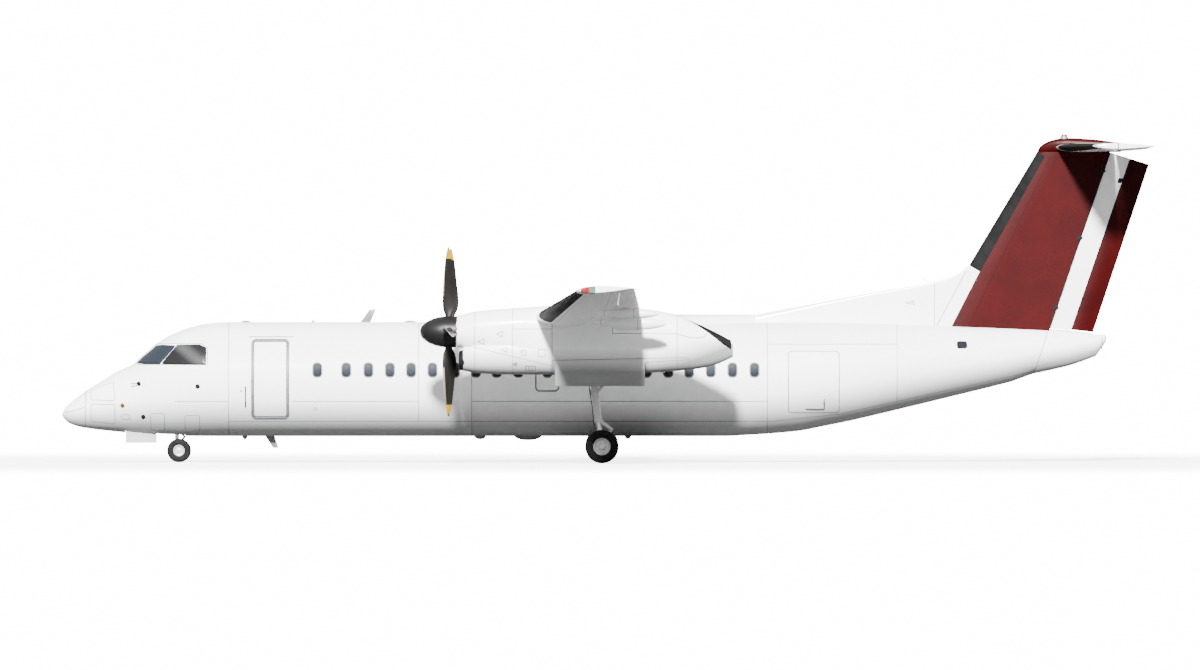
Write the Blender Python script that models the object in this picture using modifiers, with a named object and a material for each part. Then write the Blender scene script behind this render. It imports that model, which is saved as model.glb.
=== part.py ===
"""Twin-engined turboprop airliner: high wing, T tail, parked on its gear.

Frame: +X aft, +Y to starboard, +Z up, metres. The origin is on the ground,
at mid-length, in the plane of symmetry. The nose points to -X.
"""

import math

import bmesh
import bpy
from mathutils import Matrix, Vector

# Driving dimensions
FIT = 0.0003
RUN = 0.008
PROP_Y = 3.94
PROP_Z = 3.074
PROP_X = -3.70
SPINNER_RADIUS = 0.365
SPINNER_TIP_X = -4.372
SPINNER_BACK_X = -3.525
ENGINE_FRONT_X = -2.95
HALF_SPAN = 13.715
WING_KINK_Y = 4.46
INNER_CHORD = 2.46
TIP_CHORD = 1.28
INNER_LE_X = -1.649
INNER_LE_Z = 3.42
TIP_LE_X = -0.66
TIP_LE_Z = 4.02
TIP_TE_RISE = 0.05
WING_CAMBER = 0.004
TIP_ROUND = 0.12
TIP_SHRINK = 0.86
DOOR_FRONT_X = -8.335
DOOR_REAR_X = -7.495
DOOR_SILL_Z = 1.045
DOOR_HEAD_Z = 2.88
DOOR_DEPTH = 0.09
DOOR_HINGE_Y = -0.9945
DOOR_HINGE_Z = 1.049
MAIN_AXLE_X = -0.12
MAIN_TYRE_RADIUS = 0.395
MAIN_TYRE_WIDTH = 0.25
MAIN_TYRE_SPACING = 0.44
MAIN_RIM_RADIUS = 0.20
MAIN_AXLE_RADIUS = 0.045
NOSE_LEG_X = -10.13
NOSE_TYRE_RADIUS = 0.28
NOSE_TYRE_WIDTH = 0.165
NOSE_TYRE_SPACING = 0.36
NOSE_RIM_RADIUS = 0.13
NOSE_AXLE_RADIUS = 0.032
NOSE_TRAIL = 0.05
NOSE_FORK_TOP_Z = 0.80
AXLE_CLEARANCE = 0.0008
TYRE_SIDES = 24
# The nose gear's bay, as two corners
NOSE_BAY_LOW = (-11.35, -0.25, 0.4)
NOSE_BAY_HIGH = (-9.93, 0.25, 1.45)
TAILPLANE_Z = 7.415
ELEVATOR_HINGE_X = 12.03
TAILPLANE_TE_X = 12.82
TAILPLANE_HALF_SPAN = 3.96
TAILPLANE_LE_X = 10.55
TAILPLANE_TIP_LE_X = 11.43
TAILPLANE_THICKNESS = 0.095
RUDDER_LOW = Vector((10.439, 0, 3.171))
RUDDER_TOP = Vector((11.869, 0, 7.310))

# Body sections: x, top z, lowest z, half width
FUSELAGE = (
    (-12.84, 1.135, 1.115, 0.010),
    (-12.79, 1.244, 1.032, 0.105),
    (-12.65, 1.397, 0.909, 0.240),
    (-12.41, 1.585, 0.832, 0.375),
    (-12.27, 1.690, 0.806, 0.440),
    (-11.94, 1.892, 0.761, 0.560),
    (-11.47, 2.174, 0.714, 0.715),
    (-11.20, 2.292, 0.690, 0.800),
    (-10.88, 2.575, 0.667, 0.905),
    (-10.41, 2.928, 0.635, 1.050),
    (-9.94, 3.140, 0.622, 1.175),
    (-9.47, 3.258, 0.616, 1.275),
    (-8.90, 3.301, 0.615, 1.345),
    (3.13, 3.301, 0.615, 1.345),
    (3.77, 3.301, 0.667, 1.338),
    (4.55, 3.301, 0.740, 1.315),
    (5.02, 3.300, 0.832, 1.290),
    (5.72, 3.285, 0.973, 1.235),
    (6.82, 3.258, 1.232, 1.110),
    (8.08, 3.211, 1.538, 0.915),
    (9.26, 3.175, 1.828, 0.690),
    (10.08, 3.140, 2.046, 0.520),
    (10.91, 3.095, 2.280, 0.345),
    (11.38, 3.046, 2.450, 0.220),
    (11.60, 2.985, 2.550, 0.150),
    (11.72, 3.012, 2.790, 0.085),
)
NOSE_JOINT_X = -12.27
FRONT_JOINT_X = -8.90
MIDDLE_JOINT_X = -3.18
REAR_JOINT_X = 3.77
TAIL_JOINT_X = 10.23
TAIL_JOINT_LEAN = 0.337

# Nacelle sections: x, top z, lowest z, half width, squareness
NACELLE = (
    (-3.50, 3.440, 2.190, 0.375, 2.4),
    (-3.08, 3.545, 2.106, 0.425, 2.6),
    (-2.21, 3.623, 2.071, 0.465, 2.8),
    (-1.28, 3.685, 2.066, 0.480, 2.8),
    (-0.16, 3.685, 2.092, 0.480, 2.8),
    (0.90, 3.600, 2.113, 0.470, 2.7),
    (1.66, 3.458, 2.165, 0.420, 2.5),
    (2.06, 3.270, 2.203, 0.365, 2.4),
    (2.51, 3.046, 2.294, 0.270, 2.2),
    (2.94, 2.775, 2.483, 0.130, 2.0),
)
COWL_JOINT_X = -1.28
BAY_FRONT_X = -1.20
BAY_REAR_X = 0.88
BAY_HALF_WIDTH = 0.36
BAY_ROOF_Z = 2.98
BAY_DOOR_Z = 2.405
JACK_PAD_RADIUS = 0.06

# Over-wing fairing and spine: x, top z, half width
FAIRING = (
    (-2.75, 3.20, 0.30),
    (-2.30, 3.45, 0.72),
    (-1.60, 3.66, 0.95),
    (-0.60, 3.70, 1.02),
    (0.40, 3.62, 0.98),
    (1.10, 3.50, 0.80),
    (2.10, 3.48, 0.42),
    (3.50, 3.479, 0.20),
)

# Flap track fairings: y, front x, rear x, drop below the leading edge
FLAP_TRACKS = (
    (5.30, -0.36, 1.36, 0.36),
    (8.00, -0.32, 1.19, 0.27),
)
FLAP_TRACK_HALF_WIDTH = 0.11
# Their shape: share of the length, then top, foot and width as shares
FLAP_TRACK_SHAPE = (
    (0.00, 0.25, 0.32, 0.10),
    (0.15, 0.15, 0.75, 0.70),
    (0.45, 0.15, 1.00, 1.00),
    (0.75, 0.20, 0.95, 0.95),
    (0.93, 0.50, 0.78, 0.55),
    (1.00, 0.60, 0.68, 0.15),
)

# Ailerons and flaps: inner y, outer y, share of the chord ahead of the piece
FLAP_IN = (1.42, 3.42, 0.72)
FLAP_OUT = (4.50, 9.22, 0.72)
AILERON = (9.34, 13.02, 0.74)
AILERON_GAP = 0.012
HINGE_SETBACK = 0.10
AEROFOIL_POINTS = 11


def clear_scene():
    for old in list(bpy.data.objects):
        bpy.data.objects.remove(old, do_unlink=True)


def make_collection(name):
    collection = bpy.data.collections.new(name)
    bpy.context.scene.collection.children.link(collection)
    return collection


clear_scene()
AIRLINER = make_collection("turboprop_airliner")
CUTTERS = make_collection("cutters")


def paint(name, colour, roughness, metallic=0.0):
    material = bpy.data.materials.new(name)
    material.use_nodes = True
    shader = material.node_tree.nodes["Principled BSDF"]
    shader.inputs["Base Color"].default_value = (*colour, 1)
    shader.inputs["Roughness"].default_value = roughness
    shader.inputs["Metallic"].default_value = metallic
    return material


WHITE = paint("white_paint", (0.86, 0.86, 0.85), 0.3)
RED = paint("dark_red_paint", (0.36, 0.02, 0.05), 0.3)
GLASS = paint("tinted_glass", (0.10, 0.14, 0.18), 0.08)
STEEL = paint("gear_steel", (0.60, 0.62, 0.63), 0.35, 0.8)
TYRE = paint("tyre_rubber", (0.025, 0.025, 0.027), 0.85)
HUB = paint("wheel_alloy", (0.70, 0.71, 0.72), 0.35, 0.9)
EXHAUST = paint("burnt_exhaust_steel", (0.05, 0.045, 0.04), 0.6, 0.7)
BLADE = paint("black_blade_paint", (0.03, 0.03, 0.035), 0.4)


def add(name, mesh, material=None):
    """Links a mesh as a sub-part, or as a hidden cutter where it has no material."""
    obj = bpy.data.objects.new(name, mesh)
    if material:
        AIRLINER.objects.link(obj)
        mesh.materials.clear()
        mesh.materials.append(material)
    else:
        CUTTERS.objects.link(obj)
        obj.hide_render = True
        obj.display_type = "WIRE"
    return obj


def finish_mesh(bm, name):
    bmesh.ops.triangulate(bm, faces=bm.faces)
    bmesh.ops.recalc_face_normals(bm, faces=bm.faces)
    mesh = bpy.data.meshes.new(name)
    bm.to_mesh(mesh)
    bm.free()
    return mesh


def loft(name, rings, material=None, endless=False):
    """A closed skin through rings of equal count, capped at both ends or endless."""
    bm = bmesh.new()
    rows = [[bm.verts.new(point) for point in ring] for ring in rings]
    count = len(rows[0])
    following = rows[1:] + rows[:1] if endless else rows[1:]
    for row, after in zip(rows, following):
        for i in range(count):
            j = (i + 1) % count
            bm.faces.new((row[i], row[j], after[j], after[i]))
    if not endless:
        bm.faces.new(rows[0])
        bm.faces.new(rows[-1])
    return add(name, finish_mesh(bm, name), material)


def prism(name, outline, axis, low, high, material=None):
    """An outline of pairs, pushed from low to high along an axis of X, Y or Z."""
    place = {
        "X": lambda p, d: Vector((d, p[0], p[1])),
        "Y": lambda p, d: Vector((p[0], d, p[1])),
        "Z": lambda p, d: Vector((p[0], p[1], d)),
    }[axis]
    bm = bmesh.new()
    face = bm.faces.new([bm.verts.new(place(point, low)) for point in outline])
    pushed = bmesh.ops.extrude_face_region(bm, geom=[face])["geom"]
    far_end = [item for item in pushed if isinstance(item, bmesh.types.BMVert)]
    bmesh.ops.translate(bm, verts=far_end, vec=place((0, 0), high - low))
    return add(name, finish_mesh(bm, name), material)


def block(name, low, high, material=None):
    """A box between two corners."""
    low = Vector(low)
    high = Vector(high)
    bm = bmesh.new()
    bmesh.ops.create_cube(bm, size=1.0)
    bmesh.ops.scale(bm, verts=bm.verts, vec=high - low)
    bmesh.ops.translate(bm, verts=bm.verts, vec=(low + high) / 2)
    return add(name, finish_mesh(bm, name), material)


def rod(name, start, end, radius, material=None, sides=16, end_radius=None):
    """A round bar between two points, or a taper."""
    start = Vector(start)
    end = Vector(end)
    bm = bmesh.new()
    bmesh.ops.create_cone(
        bm,
        cap_ends=True,
        segments=sides,
        radius1=radius,
        radius2=radius if end_radius is None else end_radius,
        depth=(end - start).length,
    )
    turn = (end - start).to_track_quat("Z", "Y").to_matrix().to_4x4()
    bm.transform(Matrix.Translation((start + end) / 2) @ turn)
    return add(name, finish_mesh(bm, name), material)


def turned(name, profile, centre, axis, sides, material=None, endless=False):
    """A turned piece. The profile runs over (distance along the axis, radius)."""
    if not endless:
        profile = ((profile[0][0], 0.0), *profile, (profile[-1][0], 0.0))
    half_step = math.pi / sides
    bm = bmesh.new()
    points = []
    for along, radius in profile:
        across = radius * math.cos(half_step)
        up = radius * math.sin(half_step)
        points.append(bm.verts.new((along, across, up) if axis == "X" else (across, along, up)))
    for first, second in zip(points, points[1:]):
        bm.edges.new((first, second))
    if endless:
        bm.edges.new((points[-1], points[0]))
    mesh = bpy.data.meshes.new(name)
    bm.to_mesh(mesh)
    bm.free()
    obj = add(name, mesh, material)
    obj.location = centre
    screw = obj.modifiers.new("turn", "SCREW")
    screw.axis = axis
    screw.steps = sides
    screw.render_steps = sides
    screw.use_merge_vertices = True
    screw.merge_threshold = 0.00001
    screw.use_normal_flip = True
    return obj


def boolean(obj, operation, others):
    for other in others:
        modifier = obj.modifiers.new(operation.lower() + "_" + other.name[:40], "BOOLEAN")
        modifier.operation = operation
        modifier.solver = "EXACT"
        modifier.object = other
    return obj


def cut(obj, *others):
    return boolean(obj, "DIFFERENCE", others)


def join(obj, *others):
    return boolean(obj, "UNION", others)


def keep(obj, *others):
    return boolean(obj, "INTERSECT", others)


def set_origin(obj, point):
    """Moves the origin to a point on the joint's axis, leaving the shape in place."""
    point = Vector(point)
    obj.data.transform(Matrix.Translation(obj.location - point))
    obj.location = point


def between(rows, x):
    """The row at x, read off a table sorted by its first column."""
    for first, second in zip(rows, rows[1:]):
        if first[0] <= x <= second[0]:
            share = (x - first[0]) / (second[0] - first[0])
            return tuple(a + share * (b - a) for a, b in zip(first, second))
    raise ValueError(x)


def oval(x, top, low, half_width, square=2.0, count=32, centre_y=0.0, lean=0.0):
    """A rounded section across the body. A squareness over 2 fills its corners."""
    middle = (top + low) / 2
    ring = []
    for i in range(count):
        angle = 2 * math.pi * (i + 0.5) / count
        cos, sin = math.cos(angle), math.sin(angle)
        across = half_width * math.copysign(abs(cos) ** (2 / square), cos)
        up = (top - low) / 2 * math.copysign(abs(sin) ** (2 / square), sin)
        ring.append((x + lean * up, centre_y + across, middle + up))
    return ring


def body_rings(x_from, x_to, grow=0.0, lean_from=0.0, lean_to=0.0):
    stations = [x_from] + [row[0] for row in FUSELAGE if x_from + 0.02 < row[0] < x_to - 0.02]
    stations.append(x_to)
    rings = []
    for x in stations:
        _, top, low, half = between(FUSELAGE, x)
        lean = lean_from if x == x_from else lean_to if x == x_to else 0.0
        rings.append(oval(x, top + grow, low - grow, half + grow, lean=lean))
    return rings


def body_loft(name, x_from, x_to, material=None, **shape):
    return loft(name, body_rings(x_from, x_to, **shape), material)


def inlay(name, host, outline, material, side, depth, gap, x_range):
    """A panel set flush in a body's skin, and the pocket that it sits in.

    The outline is in side view. The panel follows the skin and is as thick as depth.
    """
    low, high = (0.02, 1.6) if side > 0 else (-1.6, -0.02)
    middle = Vector((sum(p[0] for p in outline), sum(p[1] for p in outline))) / len(outline)
    inset = [
        tuple(middle + (Vector(p) - middle) * (1 - gap / (Vector(p) - middle).length))
        for p in outline
    ]
    pocket = prism(name + "_pocket", outline, "Y", low, high)
    core = body_loft(name + "_core", *x_range, grow=-depth - FIT)
    cut(pocket, core)
    cut(host, pocket)
    panel = prism(name, inset, "Y", low, high, material)
    keep(panel, body_loft(name + "_skin", *x_range))
    cut(panel, body_loft(name + "_inner", *x_range, grow=-depth))
    return panel


def sided(name, side):
    return f"{name}_{'right' if side > 0 else 'left'}"


def aerofoil(chord, thickness, count=AEROFOIL_POINTS, camber=WING_CAMBER):
    """Points of a wing section, nose at 0 and tail at the chord, upper side first."""
    upper, lower = [], []
    for i in range(count):
        share = 0.5 * (1 - math.cos(math.pi * i / (count - 1)))
        half = 5 * thickness * (
            0.2969 * math.sqrt(share)
            - 0.1260 * share
            - 0.3516 * share**2
            + 0.2843 * share**3
            - 0.1015 * share**4
        )
        line = 4 * camber * share * (1 - share)
        upper.append((share * chord, chord * (line + half)))
        lower.append((share * chord, chord * (line - half)))
    return upper + lower[-1:0:-1]


def wing_section(y, side, grow=0.0):
    """One section of the wing at a distance y from the centre."""
    share = max(0.0, (abs(y) - WING_KINK_Y) / (HALF_SPAN - WING_KINK_Y))
    chord = INNER_CHORD + share * (TIP_CHORD - INNER_CHORD)
    thickness = 0.175 - 0.045 * share
    x = INNER_LE_X + share * (TIP_LE_X - INNER_LE_X)
    z = INNER_LE_Z + share * (TIP_LE_Z - INNER_LE_Z)
    points = aerofoil(chord + 2 * grow, thickness + 2 * grow / chord)
    rise = share * TIP_TE_RISE / chord
    return [(x - grow + u, y * side, z + v + rise * u) for u, v in points]


def chord_x(y, share_of_chord):
    share = max(0.0, (y - WING_KINK_Y) / (HALF_SPAN - WING_KINK_Y))
    chord = INNER_CHORD + share * (TIP_CHORD - INNER_CHORD)
    return INNER_LE_X + share * (TIP_LE_X - INNER_LE_X) + share_of_chord * chord


def chord_z(y, share_of_chord):
    share = max(0.0, (y - WING_KINK_Y) / (HALF_SPAN - WING_KINK_Y))
    chord = INNER_CHORD + share * (TIP_CHORD - INNER_CHORD)
    camber = 4 * WING_CAMBER * share_of_chord * (1 - share_of_chord) * chord
    rise = share * TIP_TE_RISE * share_of_chord
    return INNER_LE_Z + share * (TIP_LE_Z - INNER_LE_Z) + camber + rise


def bay_cutter(name, side, inner, outer, front_share):
    """Cuts a trailing-edge bay from the front share of the chord to behind the wing."""
    rings = []
    for y in (inner, outer):
        front = chord_x(y, front_share)
        low = chord_z(y, 0.9) - 0.5
        high = low + 1.0
        rear = front + 2
        corners = ((front, low), (rear, low), (rear, high), (front, high))
        rings.append([(x, y * side, z) for x, z in corners])
    return loft(name, rings)


def trailing_piece(name, side, span, material, gap):
    """A flap or aileron: the rear of the wing section behind a rounded nose."""
    inner, outer, front_share = span
    rings = []
    for y in (inner + gap, outer - gap):
        section = wing_section(y, side)
        upper_side = section[:AEROFOIL_POINTS]
        lower_side = section[AEROFOIL_POINTS:]
        nose_x = chord_x(y, front_share) + gap
        round_x = nose_x + HINGE_SETBACK
        upper = [p for p in upper_side if p[0] > round_x + 0.02]
        lower = [p for p in lower_side if p[0] > round_x + 0.02]
        top = between([(p[0], p[2]) for p in upper_side], round_x)[1]
        low = between(sorted((p[0], p[2]) for p in lower_side + upper_side[:1]), round_x)[1]
        middle = (top + low) / 2
        radius = (top - low) / 2
        nose = []
        for step in range(7):
            angle = math.pi / 2 - math.pi * step / 6
            forward = HINGE_SETBACK * math.cos(angle)
            nose.append((round_x - forward, y * side, middle + radius * math.sin(angle)))
        rings.append((upper, lower, nose))
    count_up = min(len(ring[0]) for ring in rings)
    count_low = min(len(ring[1]) for ring in rings)
    solid = [
        nose[::-1] + upper[-count_up:] + lower[:count_low] for upper, lower, nose in rings
    ]
    return loft(name, solid, material)


def build_fuselage():
    """The pressure hull in the sections it is really joined from."""
    half_gap = FIT / 2
    body_loft("nose_cone", FUSELAGE[0][0], NOSE_JOINT_X - half_gap, WHITE)
    nose = body_loft("fuselage_nose", NOSE_JOINT_X + half_gap, FRONT_JOINT_X - half_gap, WHITE)
    front = body_loft("fuselage_front", FRONT_JOINT_X + half_gap, MIDDLE_JOINT_X - half_gap, WHITE)
    body_loft("fuselage_center", MIDDLE_JOINT_X + half_gap, REAR_JOINT_X - half_gap, WHITE)
    rear = body_loft(
        "fuselage_rear",
        REAR_JOINT_X + half_gap,
        TAIL_JOINT_X - half_gap,
        WHITE,
        lean_to=TAIL_JOINT_LEAN,
    )
    body_loft(
        "tail_cone",
        TAIL_JOINT_X + half_gap,
        FUSELAGE[-1][0],
        WHITE,
        lean_from=TAIL_JOINT_LEAN,
    )
    blade_antennas = (
        ("roof_antenna", ((-5.81, 3.27), (-5.63, 3.27), (-5.46, 3.60), (-5.57, 3.60))),
        ("belly_antenna", ((-8.06, 0.64), (-7.84, 0.64), (-7.74, 0.337), (-7.83, 0.337))),
    )
    for name, outline in blade_antennas:
        join(front, prism(name, outline, "Y", -0.012, 0.012))
    windshield = ((-11.07, 2.344), (-10.53, 2.337), (-10.165, 2.742), (-10.60, 2.742))
    side_window = (
        (-10.455, 2.339),
        (-9.448, 2.337),
        (-9.448, 2.688),
        (-9.598, 2.751),
        (-10.095, 2.747),
    )
    for side in (-1, 1):
        panes = (("windshield", windshield), ("cockpit_side_window", side_window))
        for name, outline in panes:
            inlay(sided(name, side), nose, outline, GLASS, side, 0.03, FIT, (-11.5, -9.0))
    cut(nose, block("nose_bay", NOSE_BAY_LOW, NOSE_BAY_HIGH))
    join(nose, rod(
        "nose_jack_pad", (-9.35, 0, 0.75), (-9.35, 0, 0.600), JACK_PAD_RADIUS, sides=20
    ))
    cut(front, block(
        "doorway", (DOOR_FRONT_X, -1.6, DOOR_SILL_Z), (DOOR_REAR_X, -0.30, DOOR_HEAD_Z)
    ))
    baggage = ((4.265, 1.175), (5.455, 1.175), (5.455, 2.615), (4.265, 2.615))
    inlay("baggage_door", rear, baggage, WHITE, -1, 0.06, 0.004, (4.0, 6.0))


def build_entry_door():
    """The airstair door. It hinges on its sill and lies out as steps."""
    gap = RUN
    outline = (
        (DOOR_FRONT_X + gap, DOOR_SILL_Z + gap),
        (DOOR_REAR_X - gap, DOOR_SILL_Z + gap),
        (DOOR_REAR_X - gap, DOOR_HEAD_Z - gap),
        (DOOR_FRONT_X + gap, DOOR_HEAD_Z - gap),
    )
    door = prism("entry_door", outline, "Y", -1.6, -0.5, WHITE)
    keep(door, body_loft("door_skin", -8.7, -7.2))
    cut(door, body_loft("door_inner", -8.7, -7.2, grow=-DOOR_DEPTH))
    hinge = Vector((0, DOOR_HINGE_Y, DOOR_HINGE_Z))
    join(door, rod(
        "door_hinge_tube",
        hinge + Vector((DOOR_FRONT_X + 0.04, 0, 0)),
        hinge + Vector((DOOR_REAR_X - 0.04, 0, 0)),
        0.0158,
        sides=16,
    ))
    set_origin(door, hinge + Vector(((DOOR_FRONT_X + DOOR_REAR_X) / 2, 0, 0)))


def tip_section(side):
    """The wing's end face: its last section, drawn in towards the middle."""
    ring = [Vector(point) for point in wing_section(HALF_SPAN - TIP_ROUND, side)]
    middle = sum(ring, Vector()) / len(ring)
    end = middle + Vector((0, TIP_ROUND * side, 0))
    return [end + (point - middle) * TIP_SHRINK for point in ring]


def add_flap_tracks(wing, side):
    """Boat-shaped fairings under the wing. The flap lies in a hollow of their tops."""
    inner, outer, front_share = FLAP_OUT
    skin = loft(
        sided("flap_space", side),
        [wing_section(y, side, grow=2 * FIT) for y in (inner, outer)],
    )
    room = bay_cutter(
        sided("flap_space_bay", side),
        side,
        inner - 0.01,
        outer + 0.01,
        front_share - 0.002,
    )
    keep(skin, room)
    for number, (y, front, rear, drop) in enumerate(FLAP_TRACKS, 1):
        level = chord_z(y, 0)
        rings = [
            oval(
                front + share * (rear - front),
                level - top * drop,
                level - foot * drop,
                width * FLAP_TRACK_HALF_WIDTH,
                count=12,
                centre_y=y * side,
            )
            for share, top, foot, width in FLAP_TRACK_SHAPE
        ]
        fairing = loft(f"{sided('flap_track', side)}_{number}", rings)
        cut(fairing, skin)
        join(wing, fairing)


def build_wing():
    """One centre wing with its fairing over the fuselage, and two outer wings."""
    sections = [wing_section(y, 1) for y in (-WING_KINK_Y, WING_KINK_Y)]
    centre = loft("wing_center", sections, WHITE)
    fairing_rings = [
        oval(x, top, 2.75, half, square=2.6, count=20) for x, top, half in FAIRING
    ]
    join(centre, loft("wing_fairing", fairing_rings))
    cut(centre, body_loft("hull_under_wing", -4.0, REAR_JOINT_X, grow=2 * FIT))
    for side in (-1, 1):
        cut(centre, bay_cutter(sided("flap_bay_inner", side), side, *FLAP_IN))
        stations = (WING_KINK_Y + FIT, 9.28, HALF_SPAN - TIP_ROUND)
        rings = [wing_section(y, side) for y in stations]
        rings.append(tip_section(side))
        wing = loft(sided("wing", side), rings, WHITE)
        cut(wing, bay_cutter(sided("flap_bay_outer", side), side, *FLAP_OUT))
        cut(wing, bay_cutter(sided("aileron_bay", side), side, *AILERON))
        add_flap_tracks(wing, side)
        trailing_piece(sided("flap_inboard", side), side, FLAP_IN, WHITE, FIT)
        trailing_piece(sided("flap_outboard", side), side, FLAP_OUT, WHITE, FIT)
        aileron = trailing_piece(sided("aileron", side), side, AILERON, WHITE, AILERON_GAP)
        hinge, outwards = aileron_axis(side)
        join(aileron, rod(
            sided("aileron_pin", side),
            hinge + outwards * 0.0017,
            hinge + outwards * 0.2,
            0.018,
            sides=12,
        ))
        set_origin(aileron, hinge)


def aileron_axis(side):
    """A point on the aileron's hinge and its direction, outwards."""
    inner, outer, share = AILERON
    ends = [
        Vector((
            chord_x(y, share) + HINGE_SETBACK + AILERON_GAP,
            y * side,
            chord_z(y, share + 0.04),
        ))
        for y in (inner, outer)
    ]
    return ends[0], (ends[1] - ends[0]).normalized()


def build_nacelle(side):
    """The cowl with its intake, the rear nacelle with the gear bay, the engine and exhaust."""
    y = PROP_Y * side

    def rings(x_from, x_to, grow=0.0):
        stations = [x_from]
        stations += [row[0] for row in NACELLE if x_from + 0.02 < row[0] < x_to - 0.02]
        stations.append(x_to)
        made = []
        for x in stations:
            _, top, low, half, square = between(NACELLE, x)
            made.append(oval(x, top + grow, low - grow, half + grow, square, 24, y))
        return made

    wing_cutter = loft(
        sided("wing_through", side),
        [wing_section(at, side, grow=0.001) for at in (PROP_Y - 0.51, PROP_Y + 0.51)],
    )
    cowl = loft(sided("nacelle_cowl", side), rings(-3.50, COWL_JOINT_X - FIT / 2), WHITE)
    cut(cowl, wing_cutter)
    room_rings = rings(-3.20, COWL_JOINT_X, grow=-0.05)[:-1]
    room_rings.append(oval(COWL_JOINT_X + 0.2, 3.10, 2.12, 0.42, 2.8, 24, y))
    cut(cowl, loft(sided("engine_room", side), room_rings))
    hole = rod(sided("shaft_hole", side), (-3.6, y, PROP_Z), (-3.1, y, PROP_Z), 0.20, sides=20)
    cut(cowl, hole)
    intake = [oval(x, 2.61, 2.23, 0.27, 2.4, 20, y) for x in (-3.6, -3.34)]
    cut(cowl, loft(sided("intake_mouth", side), intake))
    rear_rings = rings(COWL_JOINT_X + FIT / 2, NACELLE[-1][0])
    rear = loft(sided("nacelle_rear", side), rear_rings, WHITE)
    cut(rear, wing_cutter)
    cut(rear, block(
        sided("door_gap", side),
        (COWL_JOINT_X + 0.06, y - 0.6, 1.9),
        (BAY_REAR_X + 0.02, y + 0.6, BAY_DOOR_Z),
    ))
    cut(rear, block(
        sided("gear_bay", side),
        (BAY_FRONT_X, y - BAY_HALF_WIDTH, 1.9),
        (BAY_REAR_X, y + BAY_HALF_WIDTH, BAY_ROOF_Z),
    ))
    pipe = ((1.72, 3.44, 3.00, 0.26), (2.20, 3.22, 2.86, 0.24), (2.90, 2.86, 2.62, 0.19))
    outer = [oval(x, top, low, half, 2.2, 16, y) for x, top, low, half in pipe]
    socket = [
        oval(x, top + FIT, low - FIT, half + FIT, 2.2, 16, y) for x, top, low, half in pipe
    ]
    exhaust = loft(sided("exhaust", side), outer, EXHAUST)
    bore = [oval(x, t - 0.03, b + 0.03, h - 0.03, 2.2, 16, y) for x, t, b, h in pipe[1:]]
    bore.append(oval(3.2, 2.72, 2.50, 0.16, 2.2, 16, y))
    cut(exhaust, loft(sided("exhaust_bore", side), bore))
    socket[0] = oval(1.72 - FIT, 3.44 + FIT, 3.00 - FIT, 0.26 + FIT, 2.2, 16, y)
    socket.append(oval(3.2, 2.80, 2.50, 0.19, 2.2, 16, y))
    cut(rear, loft(sided("exhaust_socket", side), socket))
    pad = rod(
        sided("jack_pad", side), (1.30, y, 2.30), (1.30, y, 2.115), JACK_PAD_RADIUS, sides=20
    )
    join(rear, pad)
    block(
        sided("engine", side),
        (ENGINE_FRONT_X, y - 0.27, 2.60),
        (COWL_JOINT_X - 2 * FIT, y + 0.27, 3.10),
        STEEL,
    )


def build_propeller(side):
    """The hub drum with four blades, and the spinner dome ahead of it."""
    y = PROP_Y * side
    centre = (0, y, PROP_Z)
    front = PROP_X - 0.10
    spinner_profile = [(SPINNER_TIP_X, 0.012)]
    for share in (0.06, 0.2, 0.4, 0.65, 1.0):
        x = SPINNER_TIP_X + share * (front - FIT - SPINNER_TIP_X)
        spinner_profile.append((x, (SPINNER_RADIUS - 0.01) * math.sqrt(1 - (1 - share) ** 1.75)))
    spinner = turned(sided("spinner", side), spinner_profile, centre, "X", 24, BLADE)
    hub_profile = (
        (front, SPINNER_RADIUS - 0.01),
        (SPINNER_BACK_X - 0.03, SPINNER_RADIUS),
        (SPINNER_BACK_X, SPINNER_RADIUS),
    )
    hub = turned(sided("propeller", side), hub_profile, centre, "X", 24, BLADE)
    shaft_end = (ENGINE_FRONT_X - FIT, y, PROP_Z)
    join(hub, rod(sided("prop_shaft", side), (PROP_X, y, PROP_Z), shaft_end, 0.10, sides=20))
    # Blade sections: radius, chord, thickness, twist
    blade_rows = (
        (0.25, 0.16, 0.13, 80),
        (0.38, 0.17, 0.11, 78),
        (0.52, 0.29, 0.08, 75),
        (0.80, 0.34, 0.055, 67),
        (1.20, 0.34, 0.038, 48),
        (1.75, 0.29, 0.025, 35),
        (1.978, 0.12, 0.014, 31),
    )
    for turn in range(4):
        rings = []
        for radius, chord, thick, twist in blade_rows:
            ring = []
            for i in range(8):
                angle = 2 * math.pi * i / 8
                along = chord / 2 * math.cos(angle)
                through = thick / 2 * math.sin(angle)
                lean = math.radians(twist)
                across = along * math.cos(lean) - through * math.sin(lean)
                fore = along * math.sin(lean) + through * math.cos(lean)
                ring.append(Vector((PROP_X + fore, across, radius)))
            rings.append(ring)
        spin = Matrix.Rotation(math.radians(90 * turn), 4, "X")
        place = Matrix.Translation((0, y, PROP_Z)) @ spin
        rings = [[place @ point for point in ring] for ring in rings]
        join(hub, loft(f"{sided('blade', side)}_{turn + 1}", rings))
    set_origin(hub, (PROP_X, y, PROP_Z))
    set_origin(spinner, (PROP_X, y, PROP_Z))


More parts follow.
